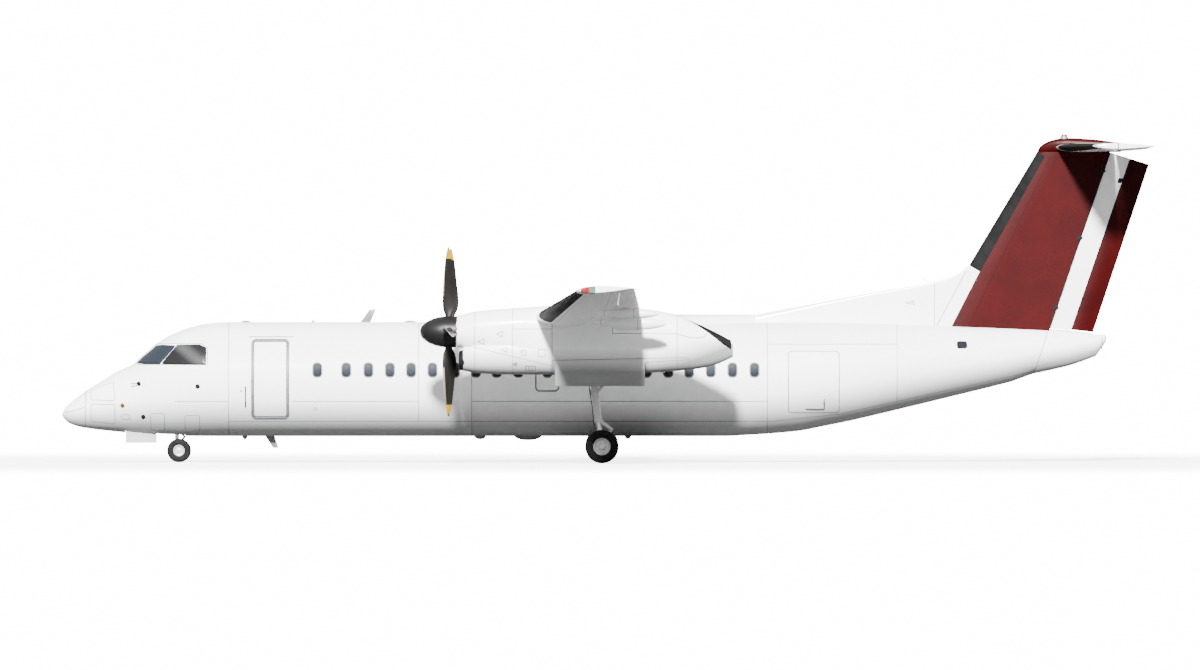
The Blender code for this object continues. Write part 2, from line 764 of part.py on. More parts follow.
def build_wheels(name, centre, radius, width, spacing, hub_radius, bore):
    """A twin wheel: two tyres, and two rims on one turning axle."""
    x, y, z = centre
    for side in (-1, 1):
        middle = spacing / 2 * side
        half = width / 2
        wall = radius - hub_radius
        tyre_profile = (
            (-half * 0.62, hub_radius + FIT),
            (-half, hub_radius + 0.30 * wall),
            (-half, hub_radius + 0.68 * wall),
            (-half * 0.52, radius),
            (half * 0.52, radius),
            (half, hub_radius + 0.68 * wall),
            (half, hub_radius + 0.30 * wall),
            (half * 0.62, hub_radius + FIT),
        )
        tyre = turned(
            sided(name + "_tyre", side),
            tyre_profile,
            (x, y + middle, z),
            "Y",
            TYRE_SIDES,
            TYRE,
            endless=True,
        )
        set_origin(tyre, centre)
    axle_end = spacing / 2 + width * 0.28
    profile = (
        (-axle_end, hub_radius * 0.45),
        (-spacing / 2 - width * 0.40, hub_radius),
        (-spacing / 2 + width * 0.40, hub_radius),
        (-spacing / 2 + width * 0.25, bore),
        (spacing / 2 - width * 0.25, bore),
        (spacing / 2 - width * 0.40, hub_radius),
        (spacing / 2 + width * 0.40, hub_radius),
        (axle_end, hub_radius * 0.45),
    )
    hubs = turned(name + "_wheel_hubs", profile, centre, "Y", TYRE_SIDES, HUB)
    set_origin(hubs, centre)


def bore_cutter(name, centre, radius, half_length):
    profile = ((-half_length, radius), (half_length, radius))
    return turned(name, profile, centre, "Y", TYRE_SIDES)


def build_main_gear(side):
    """A braced leg under the nacelle, its open doors and its twin wheels."""
    y = PROP_Y * side
    axle_z = MAIN_TYRE_RADIUS * math.cos(math.pi / TYRE_SIDES)
    roof = BAY_ROOF_Z - FIT
    pivot = Vector((-0.40, y, roof - 0.30))
    reach = Vector((0, BAY_HALF_WIDTH - FIT, 0))
    sleeve = Vector((0, 0.085, 0))
    axle = Vector((MAIN_AXLE_X, y, axle_z))
    name = sided("main_gear_leg", side)
    leg = rod(name, pivot, (-0.20, y, 0.95), 0.085, STEEL)
    join(
        leg,
        rod(name + "_piston", (-0.215, y, 1.05), axle, 0.055),
        rod(name + "_trunnion", pivot - reach, pivot + reach, 0.07),
        rod(name + "_drag_brace", (-0.27, y, 1.60), (0.68, y, roof - 0.12), 0.045),
        block(name + "_brace_foot", (0.60, y - 0.10, roof - 0.16), (0.78, y + 0.10, roof)),
        rod(name + "_link_upper", (-0.20, y, 1.02), (0.10, y, 0.78), 0.028, sides=10),
        rod(name + "_link_lower", (0.10, y, 0.80), (-0.13, y, 0.52), 0.028, sides=10),
        rod(name + "_sleeve", axle - sleeve, axle + sleeve, 0.085, sides=20),
    )
    cut(leg, bore_cutter(name + "_bore", axle, MAIN_AXLE_RADIUS + AXLE_CLEARANCE, 0.2))
    build_wheels(
        sided("main", side),
        axle,
        MAIN_TYRE_RADIUS,
        MAIN_TYRE_WIDTH,
        MAIN_TYRE_SPACING,
        MAIN_RIM_RADIUS,
        MAIN_AXLE_RADIUS,
    )
    for hand, label in ((-1, "inner"), (1, "outer")):
        out = hand * side
        top = BAY_DOOR_Z - FIT
        outline = [
            (y + out * 0.400, top),
            (y + out * 0.422, top),
            (y + out * 0.530, top - 0.28),
            (y + out * 0.500, top - 0.60),
            (y + out * 0.478, top - 0.60),
            (y + out * 0.506, top - 0.28),
        ]
        prism(
            sided(f"main_gear_door_{label}", side),
            outline,
            "X",
            COWL_JOINT_X + 0.07,
            BAY_REAR_X,
            WHITE,
        )


def build_nose_gear():
    """The nose leg, the steered fork with its tow lug, the doors and the twin wheels."""
    axle_z = NOSE_TYRE_RADIUS * math.cos(math.pi / TYRE_SIDES)
    axle_x = NOSE_LEG_X + NOSE_TRAIL
    axle = Vector((axle_x, 0, axle_z))
    roof = NOSE_BAY_HIGH[2] - FIT
    wall = Vector((0, NOSE_BAY_HIGH[1] - FIT, 0))
    pivot = Vector((NOSE_LEG_X, 0, 1.25))
    leg_foot = Vector((NOSE_LEG_X, 0, NOSE_FORK_TOP_Z))
    fork_top = Vector((NOSE_LEG_X, 0, NOSE_FORK_TOP_Z - FIT))
    sleeve = Vector((0, 0.065, 0))
    leg = rod("nose_leg", (NOSE_LEG_X, 0, roof), leg_foot, 0.075, STEEL, sides=20)
    join(
        leg,
        rod("nose_trunnion", pivot - wall, pivot + wall, 0.05),
        rod("nose_drag_brace", (NOSE_LEG_X, 0, 0.92), (-10.95, 0, 1.38), 0.035, sides=12),
        block("nose_brace_foot", (-11.04, -0.07, 1.34), (-10.88, 0.07, roof)),
    )
    fork = rod("nose_fork", fork_top, (NOSE_LEG_X, 0, 0.36), 0.05, STEEL, sides=20)
    join(
        fork,
        rod("steering_collar", fork_top, (NOSE_LEG_X, 0, 0.72), 0.085, sides=20),
        rod("nose_axle_arm", (NOSE_LEG_X, 0, 0.42), axle, 0.055, sides=16),
        rod("nose_sleeve", axle - sleeve, axle + sleeve, 0.062, sides=20),
        block("tow_lug", (NOSE_LEG_X - 0.13, -0.03, 0.40), (NOSE_LEG_X, 0.03, 0.50)),
    )
    cut(fork, bore_cutter("nose_bore", axle, NOSE_AXLE_RADIUS + AXLE_CLEARANCE, 0.2))
    set_origin(fork, leg_foot)
    build_wheels(
        "nose",
        axle,
        NOSE_TYRE_RADIUS,
        NOSE_TYRE_WIDTH,
        NOSE_TYRE_SPACING,
        NOSE_RIM_RADIUS,
        NOSE_AXLE_RADIUS,
    )
    for side in (-1, 1):
        outline = (
            (0.228 * side, 0.86),
            (wall.y * side, 0.86),
            (wall.y * side, 0.64),
            (0.270 * side, 0.46),
            (0.250 * side, 0.46),
            (0.228 * side, 0.62),
        )
        prism(sided("nose_gear_door", side), outline, "X", -11.33, -10.62, WHITE)


def tail_slice(z, nose_x, tail_x, half, blunt_nose=0.0, square_tail=False):
    """A level section of the fin or a rudder, from its front to its rear."""
    steps = 7
    widest = 0.35
    length = tail_x - nose_x
    ring = []
    for i in range(steps + 1):
        share = i / steps
        width = half
        if blunt_nose:
            ahead = max(0.0, 1 - share * length / blunt_nose)
            width *= math.sqrt(1 - ahead**2)
        elif share < widest:
            width *= math.sqrt(share / widest) * (1.5 - 0.5 * share / widest)
        if not square_tail and share > widest:
            width *= 1 - 0.93 * (share - widest) / (1 - widest)
        ring.append((nose_x + share * length, max(width, 0.002 if i else 0.0)))
    right = [(x, w, z) for x, w in ring]
    left = [(x, -w, z) for x, w in ring[:0:-1]]
    return right + left


def on_line(line, z):
    """The x at which a slanted line of two (x, z) points crosses a height."""
    (low_x, low_z), (top_x, top_z) = line
    return low_x + (z - low_z) / (top_z - low_z) * (top_x - low_x)


def tailplane_front(y):
    """The x of the tailplane's leading edge at a distance from the centre."""
    sweep = (TAILPLANE_TIP_LE_X - TAILPLANE_LE_X) / TAILPLANE_HALF_SPAN
    return TAILPLANE_LE_X + abs(y) * sweep


def plane_section(y):
    """One section of the tailplane, whole from nose to tail."""
    front = tailplane_front(y)
    points = aerofoil(TAILPLANE_TE_X - front, TAILPLANE_THICKNESS, camber=0.0)
    return [(front + u, y, TAILPLANE_Z + v) for u, v in points]


def elevator_section(y):
    """One section of an elevator: a round nose about the hinge, and a thin tail."""
    upper_side = [(x, z - TAILPLANE_Z) for x, _, z in plane_section(y)[:AEROFOIL_POINTS]]
    half = between(upper_side, ELEVATOR_HINGE_X)[1]
    ring = []
    for step in range(7):
        angle = math.pi / 2 + math.pi * step / 6
        ring.append((
            ELEVATOR_HINGE_X + 0.065 * math.cos(angle),
            y,
            TAILPLANE_Z + half * math.sin(angle),
        ))
    ring.append((TAILPLANE_TE_X, y, TAILPLANE_Z - 0.004))
    ring.append((TAILPLANE_TE_X, y, TAILPLANE_Z + 0.004))
    return ring


def build_tail():
    """Fin, dorsal fin, the two-piece rudder, tailplane and elevators."""
    front_line = ((7.79, 3.227), (8.55, 4.662))
    leading_line = ((8.55, 4.662), (10.14, 7.312))
    hinge_line = ((RUDDER_LOW.x, RUDDER_LOW.z), (RUDDER_TOP.x, RUDDER_TOP.z))
    split_line = ((10.938, 3.117), (12.325, 7.159))
    rear_line = ((11.439, 3.039), (12.768, 7.013))
    axis = (RUDDER_TOP - RUDDER_LOW).normalized()
    nose_reach = 0.12 / axis.z

    def fin_front(z):
        line = front_line if z < leading_line[0][1] else leading_line
        return on_line(line, z)

    def half_at(z):
        return 0.175 - 0.075 * (z - 3.0) / 4.3

    def fin_rings(grow=0.0):
        return [
            tail_slice(
                z,
                fin_front(z) - 2 * grow,
                on_line(hinge_line, z) - nose_reach - 0.012,
                half_at(z) + grow,
                square_tail=True,
            )
            for z in (2.95 - grow, 3.227, 4.662, 6.0, 7.312)
        ]

    fin = loft("fin", fin_rings(), RED)
    seat = RUDDER_LOW - axis * 0.016
    join(
        fin,
        block("fin_foot", (10.15, -0.05, 3.05), (seat.x + 0.05, 0.05, 3.147)),
        rod("rudder_bearing", seat - axis * 0.03, seat - axis * FIT, 0.02, sides=12),
    )
    under_rear = body_loft(
        "hull_under_fin", REAR_JOINT_X - 0.6, TAIL_JOINT_X, grow=2 * FIT, lean_to=TAIL_JOINT_LEAN
    )
    under_tail = body_loft(
        "tail_under_fin", TAIL_JOINT_X, FUSELAGE[-1][0], grow=2 * FIT, lean_from=TAIL_JOINT_LEAN
    )
    cut(fin, under_rear, under_tail)

    # Dorsal fin stations: x, top z, half width at the top, half width at the foot
    dorsal_rows = (
        (3.52, 3.479, 0.12, 0.20),
        (5.90, 3.930, 0.05, 0.17),
        (8.17, 4.372, 0.03, 0.16),
        (8.53, 4.640, 0.02, 0.15),
    )
    foot_z = 2.90
    dorsal = loft("dorsal_fin", [
        [(x, thin, top), (x, -thin, top), (x, -wide, foot_z), (x, wide, foot_z)]
        for x, top, thin, wide in dorsal_rows
    ], WHITE)
    cut(dorsal, under_rear)
    fin_space = loft("fin_space", fin_rings(grow=0.001))
    cut(dorsal, fin_space)

    def rudder_foot(x):
        return between(FUSELAGE, x)[1] + 0.055

    fore_heights = ((rudder_foot(10.6), 0.115), (5.2, 0.10), (7.26, 0.085))
    fore = loft("rudder_fore", [
        tail_slice(
            z,
            on_line(hinge_line, z) - nose_reach,
            on_line(split_line, z) - 0.045,
            half,
            blunt_nose=nose_reach,
            square_tail=True,
        )
        for z, half in fore_heights
    ], WHITE)
    join(fore, rod("rudder_pin", seat, seat + axis * 0.2, 0.02, sides=12))
    split_low = Vector((split_line[0][0], 0, split_line[0][1]))
    split_axis = (Vector((split_line[1][0], 0, split_line[1][1])) - split_low).normalized()
    split_seat = split_low + split_axis * 0.038
    join(
        fore,
        block("rudder_bracket", (10.70, -0.03, 3.120), (10.86, 0.03, 3.19)),
        block("rudder_bracket_tip", (10.80, -0.03, 3.120), (10.98, 0.03, 3.147)),
        rod(
            "split_bearing",
            split_seat - split_axis * 0.03,
            split_seat - split_axis * FIT,
            0.016,
            sides=12,
        ),
    )
    set_origin(fore, RUDDER_LOW)
    trailing = loft("rudder_trailing", [
        tail_slice(
            z,
            on_line(split_line, z) - 0.030,
            on_line(rear_line, z),
            half,
            blunt_nose=0.045,
        )
        for z, half in ((3.165, 0.075), (5.2, 0.065), (7.07, 0.055))
    ], RED)
    join(trailing, rod("split_pin", split_seat, split_seat + split_axis * 0.2, 0.016, sides=12))
    set_origin(trailing, split_low)

    stations = (-TAILPLANE_HALF_SPAN, 0.0, TAILPLANE_HALF_SPAN)
    plane = loft("tailplane", [plane_section(y) for y in stations], WHITE)
    # Fairing over the tailplane's middle: x, top z, half width
    fairing_rows = (
        (10.30, 7.50, 0.05),
        (10.42, 7.60, 0.12),
        (10.80, 7.65, 0.17),
        (11.50, 7.61, 0.15),
        (12.11, 7.50, 0.09),
    )
    top = [oval(x, crest, 7.34, half, 2.4, 16) for x, crest, half in fairing_rows]
    join(plane, loft("tailplane_fairing", top))
    join(plane, rod("beacon", (10.77, 0, 7.55), (10.77, 0, 7.73), 0.095, sides=16, end_radius=0.075))
    cut(plane, block("fin_head", (9.5, -0.6, 7.0), (12.95, 0.6, 7.312 + FIT)))
    for side in (-1, 1):
        inner, outer = 0.16 * side, TAILPLANE_HALF_SPAN * side
        bay = block(
            sided("elevator_bay", side),
            (ELEVATOR_HINGE_X - 0.075, min(inner, outer * 1.05), 7.0),
            (13.2, max(inner, outer * 1.05), 7.8),
        )
        cut(plane, bay)
        rings = [elevator_section(y * side) for y in (0.175, TAILPLANE_HALF_SPAN - 0.03)]
        elevator = loft(sided("elevator", side), rings, WHITE)
        join(elevator, rod(
            sided("elevator_pin", side),
            (ELEVATOR_HINGE_X, (0.16 + FIT) * side, TAILPLANE_Z),
            (ELEVATOR_HINGE_X, 0.4 * side, TAILPLANE_Z),
            0.018,
            sides=12,
        ))
        set_origin(elevator, (ELEVATOR_HINGE_X, 0.175 * side, TAILPLANE_Z))


def build():
    build_fuselage()
    build_entry_door()
    build_wing()
    for side in (-1, 1):
        build_nacelle(side)
        build_propeller(side)
        build_main_gear(side)
    build_nose_gear()
    build_tail()
    for obj in AIRLINER.objects:
        obj.data.shade_smooth()
        obj.data.set_sharp_from_angle(angle=math.radians(35))


build()
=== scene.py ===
"""Looks for a twin turboprop airliner, in metres: -X nose, +Y starboard, +Z up."""
import math

import bmesh
import bpy
from mathutils import Matrix, Vector


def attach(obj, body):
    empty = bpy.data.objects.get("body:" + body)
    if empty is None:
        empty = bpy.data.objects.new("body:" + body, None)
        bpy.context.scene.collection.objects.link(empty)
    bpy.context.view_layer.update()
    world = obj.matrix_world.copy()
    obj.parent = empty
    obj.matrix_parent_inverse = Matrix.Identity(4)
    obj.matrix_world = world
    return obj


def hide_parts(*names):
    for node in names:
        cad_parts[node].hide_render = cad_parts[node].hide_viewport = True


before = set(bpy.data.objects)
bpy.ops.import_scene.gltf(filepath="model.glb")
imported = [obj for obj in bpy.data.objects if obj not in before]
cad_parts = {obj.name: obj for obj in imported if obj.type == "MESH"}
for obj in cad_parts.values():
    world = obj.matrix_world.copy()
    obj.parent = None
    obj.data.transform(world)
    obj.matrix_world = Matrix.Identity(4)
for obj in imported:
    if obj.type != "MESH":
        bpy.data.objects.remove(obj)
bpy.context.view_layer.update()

# Body stations: x, top z, lowest z, half width
HULL = (
    (-12.84, 1.135, 1.115, 0.010), (-12.79, 1.244, 1.032, 0.105), (-12.65, 1.397, 0.909, 0.240),
    (-12.41, 1.585, 0.832, 0.375), (-12.27, 1.690, 0.806, 0.440), (-11.94, 1.892, 0.761, 0.560),
    (-11.47, 2.174, 0.714, 0.715), (-11.20, 2.292, 0.690, 0.800), (-10.88, 2.575, 0.667, 0.905),
    (-10.41, 2.928, 0.635, 1.050), (-9.94, 3.140, 0.622, 1.175), (-9.47, 3.258, 0.616, 1.275),
    (-8.90, 3.301, 0.615, 1.345), (3.13, 3.301, 0.615, 1.345), (3.77, 3.301, 0.667, 1.338),
    (4.55, 3.301, 0.740, 1.315), (5.02, 3.300, 0.832, 1.290), (5.72, 3.285, 0.973, 1.235),
    (6.82, 3.258, 1.232, 1.110), (8.08, 3.211, 1.538, 0.915), (9.26, 3.175, 1.828, 0.690),
    (10.08, 3.140, 2.046, 0.520), (10.91, 3.095, 2.280, 0.345), (11.38, 3.046, 2.450, 0.220),
    (11.60, 2.985, 2.550, 0.150), (11.72, 3.012, 2.790, 0.085),
)
# A y beyond the hull's widest point
HULL_CLEAR = 1.7
# Hull joints, front to rear. The tail's joint leans.
JOINTS = (-12.84, -12.27, -8.90, -3.18, 3.77, 10.23, 11.72)
TAIL_LEAN = 0.337
DOOR = (-8.335, -7.495, 1.045, 2.88)
WINDOWS = (
    -6.806, -6.127, -5.606, -5.100, -4.603, -4.101, -3.581, -3.083, -2.594, -2.087,
    -1.399, -0.700, -0.068, 0.429, 0.928, 1.437, 1.929, 2.436, 2.947, 3.465,
)
WINDOW_Z = 2.176
# Half width, half height and corner radius of a cabin window
WINDOW_SIZE = (0.105, 0.165, 0.085)
SIDES = ((-1, "left"), (1, "right"))
PANEL_SEAM, FINE_MARK, FIN_JOINT = (0.13, 0.133, 0.136), (0.07, 0.071, 0.073), (0.05, 0.051, 0.052)
WHITE, BRIGHT_WHITE = (0.84, 0.845, 0.85), (0.88, 0.885, 0.89)


# Finishes

def node(tree, kind, inputs=(), **settings):
    made = tree.nodes.new("ShaderNode" + kind)
    for key, value in settings.items():
        setattr(made, key, value)
    for key, value in dict(inputs).items():
        if isinstance(value, bpy.types.NodeSocket):
            tree.links.new(value, made.inputs[key])
        else:
            made.inputs[key].default_value = value
    return made


def sum_up(tree, operation, *values, clamp=False):
    made = node(tree, "Math", dict(enumerate(values)), operation=operation, use_clamp=clamp)
    return made.outputs[0]


def ramp(tree, value, low, high, to_low=0.0, to_high=1.0, kind="SMOOTHSTEP"):
    sockets = {0: value, 1: low, 2: high, 3: to_low, 4: to_high}
    return node(tree, "MapRange", sockets, interpolation_type=kind).outputs[0]


def blend_in(tree, share, first, second):
    """A mix of two colours. Each is a socket or an RGB triple."""
    full = [c if isinstance(c, bpy.types.NodeSocket) else (*c, 1) for c in (first, second)]
    return node(tree, "Mix", {0: share, 6: full[0], 7: full[1]}, data_type="RGBA").outputs[2]


def noise(tree, place, scale, detail=3.0, roughness=0.55):
    sockets = {"Vector": place, "Scale": scale, "Detail": detail, "Roughness": roughness}
    return node(tree, "TexNoise", sockets).outputs[0]


def surface(name, colour, gloss, vary=0.05, patch=0.8, grain=60.0, relief=0.08, metal=0.0,
            coat=0.0, stretch=(1, 1, 1), grime=0.0, shine=0.5):
    """A finish with soft patches of tone, a grain in its gloss and a fine relief."""
    material = bpy.data.materials.new(name)
    material.use_nodes = True
    tree = material.node_tree
    shader = tree.nodes["Principled BSDF"]
    place = node(tree, "TexCoord").outputs["Object"]
    spread = node(tree, "Mapping", {"Vector": place, "Scale": stretch}).outputs[0]
    tone = ramp(tree, noise(tree, spread, patch, 5.0), 0.3, 0.7)
    dark = [c * (1 - vary) for c in colour]
    light = [min(1.0, c * (1 + vary)) for c in colour]
    tint = blend_in(tree, tone, dark, light)
    if grime:
        film = ramp(tree, noise(tree, spread, patch * 3.7, 6.0), 0.52, 0.75, 0.0, grime)
        tint = blend_in(tree, film, tint, [c * 0.55 for c in colour])
    fine = noise(tree, spread, grain, 4.0)
    rough = ramp(tree, fine, 0.25, 0.75, gloss * 0.82, min(1.0, gloss * 1.18), "LINEAR")
    bump = node(tree, "Bump", {"Strength": relief, "Distance": 0.002, "Height": fine})
    tree.links.new(tint, shader.inputs["Base Color"])
    tree.links.new(rough, shader.inputs["Roughness"])
    tree.links.new(bump.outputs[0], shader.inputs["Normal"])
    shader.inputs["Metallic"].default_value = metal
    shader.inputs["Coat Weight"].default_value = coat
    shader.inputs["Coat Roughness"].default_value = 0.16
    shader.inputs["Specular IOR Level"].default_value = shine
    return material


def place_of(tree):
    """The place on the surface as one socket, then its x, y and z."""
    place = node(tree, "TexCoord").outputs["Object"]
    return place, *node(tree, "SeparateXYZ", {0: place}).outputs


def overpaint(material, share, colour):
    """Lays a colour over the finish where share is 1."""
    tree = material.node_tree
    base = tree.nodes["Principled BSDF"].inputs["Base Color"]
    tree.links.new(blend_in(tree, share, base.links[0].from_socket, colour), base)


def line_share(tree, place, lines, width):
    """1 on thin lines. Each runs between two points, which are x and the third part of place."""
    found = None
    for start, end in lines:
        start = Vector(start)
        run = Vector(end) - start
        half = run.length / 2
        run.normalize()
        middle = start + run * half

        def off(a, b):
            flat = node(tree, "VectorMath", {0: place, 1: (a, 0, b)}, operation="DOT_PRODUCT")
            return sum_up(tree, "SUBTRACT", flat.outputs["Value"], a * middle.x + b * middle.y)

        across = sum_up(tree, "ABSOLUTE", off(-run.y, run.x))
        along = sum_up(tree, "SUBTRACT", sum_up(tree, "ABSOLUTE", off(run.x, run.y)), half)
        away = sum_up(tree, "MAXIMUM", across, along)
        found = away if found is None else sum_up(tree, "MINIMUM", found, away)
    return ramp(tree, found, width * 0.5, width, 1.0, 0.0)


def seam_lines(material, lines, width=0.011, depth=0.6, colour=(0.16, 0.165, 0.17), plan=False):
    """Soft panel seams, slightly sunk: (x, z) points of the side view, or (x, y) of both halves."""
    tree = material.node_tree
    place, x, y, _ = place_of(tree)
    if plan:
        place = node(tree, "CombineXYZ", {0: x, 2: sum_up(tree, "ABSOLUTE", y)}).outputs[0]
    share = line_share(tree, place, lines, width)
    overpaint(material, sum_up(tree, "MULTIPLY", share, depth), colour)
    bump = next(n for n in tree.nodes if n.bl_idname == "ShaderNodeBump")
    low = sum_up(tree, "SUBTRACT", 1.0, share)
    groove = node(tree, "Bump", {"Strength": 0.35, "Distance": 0.004, "Height": low})
    tree.links.new(groove.outputs[0], bump.inputs["Normal"])


def loop_lines(*points):
    """The lines round a closed outline."""
    return tuple(zip(points, points[1:] + points[:1]))


def shade_belly(material, rows, deepest=0.72):
    """Paints shade over the underside, darker towards the bottom where light falls off. Rows are
    (x, z where it starts, z where it is full).
    """
    tree = material.node_tree
    _, x, _, z = place_of(tree)
    start, full = rows[0][1], rows[0][2]
    for (x1, a1, b1), (x2, a2, b2) in zip(rows, rows[1:]):
        rise = ramp(tree, x, x1, x2, 0.0, 1.0, "LINEAR")
        start = sum_up(tree, "MULTIPLY_ADD", rise, a2 - a1, start)
        full = sum_up(tree, "MULTIPLY_ADD", rise, b2 - b1, full)
    share = node(tree, "MapRange", {0: z, 1: start, 2: full, 3: 0.0, 4: deepest}).outputs[0]
    overpaint(material, share, (0.11, 0.112, 0.114))


# Shaping

def deselect():
    if bpy.context.object and bpy.context.object.mode != "OBJECT":
        bpy.ops.object.mode_set(mode="OBJECT")
    bpy.ops.object.select_all(action="DESELECT")


def take_up(obj):
    """Makes an object the one being worked on."""
    deselect()
    obj.select_set(True)
    bpy.context.view_layer.objects.active = obj
    return obj


def named(obj, name):
    obj.name = name
    obj.data.name = name
    return obj


def begin(name):
    """Names the primitive just added, and opens it for editing."""
    bpy.ops.object.mode_set(mode="EDIT")
    return named(bpy.context.object, name)


def reopen(obj):
    """Opens a shape for more editing, with all of it selected."""
    take_up(obj)
    bpy.ops.object.mode_set(mode="EDIT")
    bpy.ops.mesh.select_all(action="SELECT")
    return obj


def close(obj):
    """Leaves editing, puts the origin back and turns the faces outwards."""
    if obj.mode != "EDIT":
        reopen(obj)
    bpy.ops.mesh.select_all(action="SELECT")
    bpy.ops.mesh.remove_doubles(threshold=0.00002)
    bpy.ops.mesh.normals_make_consistent(inside=False)
    bpy.ops.object.mode_set(mode="OBJECT")
    take_up(obj)
    bpy.ops.object.transform_apply(location=True, rotation=True, scale=True)
    return obj


def pick(obj, test, kind="FACE"):
    """Selects the faces that pass a test of middle and normal, or the edges by middle and run."""
    bpy.ops.mesh.select_mode(type=kind)
    bpy.ops.mesh.select_all(action="DESELECT")
    mesh = bmesh.from_edit_mesh(obj.data)
    if kind == "FACE":
        found = [(face, face.calc_center_median(), face.normal) for face in mesh.faces]
    else:
        ends = [(edge, *(vert.co for vert in edge.verts)) for edge in mesh.edges]
        found = [(edge, (first + last) / 2, last - first) for edge, first, last in ends]
    for item, middle, way in found:
        if test(middle, way):
            item.select_set(True)
    mesh.select_flush_mode()
    bmesh.update_edit_mesh(obj.data)


def modify(obj, kind, **settings):
    """Adds a modifier and applies it."""
    take_up(obj)
    made = obj.modifiers.new(kind.lower(), kind)
    for key, value in settings.items():
        setattr(made, key, value)
    bpy.ops.object.modifier_apply(modifier=made.name)
    return obj


def round_edges(obj, width, segments=3, angle=40):
    return modify(obj, "BEVEL", width=width, segments=segments, limit_method="ANGLE",
                  angle_limit=math.radians(angle), use_clamp_overlap=True)


def done(obj, material, body="airframe", replaces=(), angle=32):
    """Finishes a piece: shading, material, the body it rides on and the node it stands for."""
    close(obj)
    bpy.ops.object.shade_smooth_by_angle(angle=math.radians(angle), keep_sharp_edges=False)
    obj.data.materials.clear()
    for each in material if isinstance(material, (list, tuple)) else [material]:
        obj.data.materials.append(each)
    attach(obj, body)
    if replaces:
        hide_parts(*([replaces] if isinstance(replaces, str) else replaces))
    return obj


def foil_done(obj, paint, part, body="airframe"):
    """Finishes a white wing or tail piece, its blunt rear edge kept smooth."""
    return done(obj, paint, body, part, 40)


def cut_from(obj, cutter, operation="DIFFERENCE"):
    modify(obj, "BOOLEAN", operation=operation, solver="EXACT", object=cutter)
    bpy.data.objects.remove(cutter, do_unlink=True)
    return obj


def joined(objects, name):
    deselect()
    for obj in objects:
        obj.select_set(True)
    bpy.context.view_layer.objects.active = objects[0]
    if len(objects) > 1:
        bpy.ops.object.join()
    return named(objects[0], name)


def copy_of(obj, name, matrix=Matrix()):
    made = obj.copy()
    made.data = obj.data.copy()
    named(made, name)
    bpy.context.scene.collection.objects.link(made)
    made.data.transform(matrix)
    return made


def rod(name, start, end, radius, end_radius=None, sides=32, edge=0.0):
    """A round bar between two points."""
    start, end = Vector(start), Vector(end)
    deselect()
    bpy.ops.mesh.primitive_cone_add(
        vertices=sides, radius1=radius, radius2=radius if end_radius is None else end_radius,
        depth=(end - start).length, location=(start + end) / 2,
        rotation=(end - start).to_track_quat("Z", "Y").to_euler(),
    )
    obj = begin(name)
    if edge:
        pick(obj, lambda c, n: abs(n.z) > 0.99)
        bpy.ops.mesh.bevel(offset=edge, segments=3, affect="EDGES")
    return close(obj)


def block(name, low, high, edge=0.0, segments=3):
    """A box between two corners, its edges rounded."""
    low, high = Vector(map(min, low, high)), Vector(map(max, low, high))
    deselect()
    bpy.ops.mesh.primitive_cube_add(size=1, location=(low + high) / 2, scale=high - low)
    bpy.ops.object.transform_apply(location=True, rotation=True, scale=True)
    obj = begin(name)
    if edge:
        bpy.ops.mesh.bevel(offset=edge, segments=segments, affect="EDGES")
    return close(obj)


def flat_outline(name, points, axis="Y", at=0.0):
    """A flat face through (a, b) points, square to an axis."""
    deselect()
    bpy.ops.mesh.primitive_circle_add(vertices=len(points), fill_type="NGON")
    obj = bpy.context.object
    for vert, (a, b) in zip(obj.data.vertices, points):
        vert.co = {"X": (at, a, b), "Y": (a, at, b), "Z": (a, b, at)}[axis]
    return named(obj, name)


def slab(name, points, axis, low, high, edge=0.0, segments=3):
    """An outline pushed from one place to another along an axis."""
    low, high = sorted((low, high))
    obj = reopen(flat_outline(name, points, axis, low))
    move = [(high - low) * (each == axis) for each in "XYZ"]
    bpy.ops.mesh.extrude_region_move(TRANSFORM_OT_translate={"value": move})
    close(obj)
    if edge:
        round_edges(obj, edge, segments)
    return obj


def rounded(points, radius, steps=5):
    """An outline with its corners rounded. A radius is one number or one for each corner."""
    radii = radius if isinstance(radius, (list, tuple)) else [radius] * len(points)
    made = []
    count = len(points)
    for i, here in enumerate(points):
        here = Vector(here)
        before = (Vector(points[i - 1]) - here).normalized()
        after = (Vector(points[(i + 1) % count]) - here).normalized()
        half = before.angle(after) / 2
        back = radii[i] / math.tan(half)
        centre = here + (before + after).normalized() * (radii[i] / math.sin(half))
        first, last = here + before * back - centre, here + after * back - centre
        turn = first.angle_signed(last)
        for step in range(steps + 1):
            part = -turn * step / steps
            spun = Vector((
                first.x * math.cos(part) - first.y * math.sin(part),
                first.x * math.sin(part) + first.y * math.cos(part),
            ))
            made.append(tuple(centre + spun))
    return made


def rectangle(x1, x2, z1, z2, radius, steps=6):
    return rounded([(x1, z1), (x2, z1), (x2, z2), (x1, z2)], radius, steps)


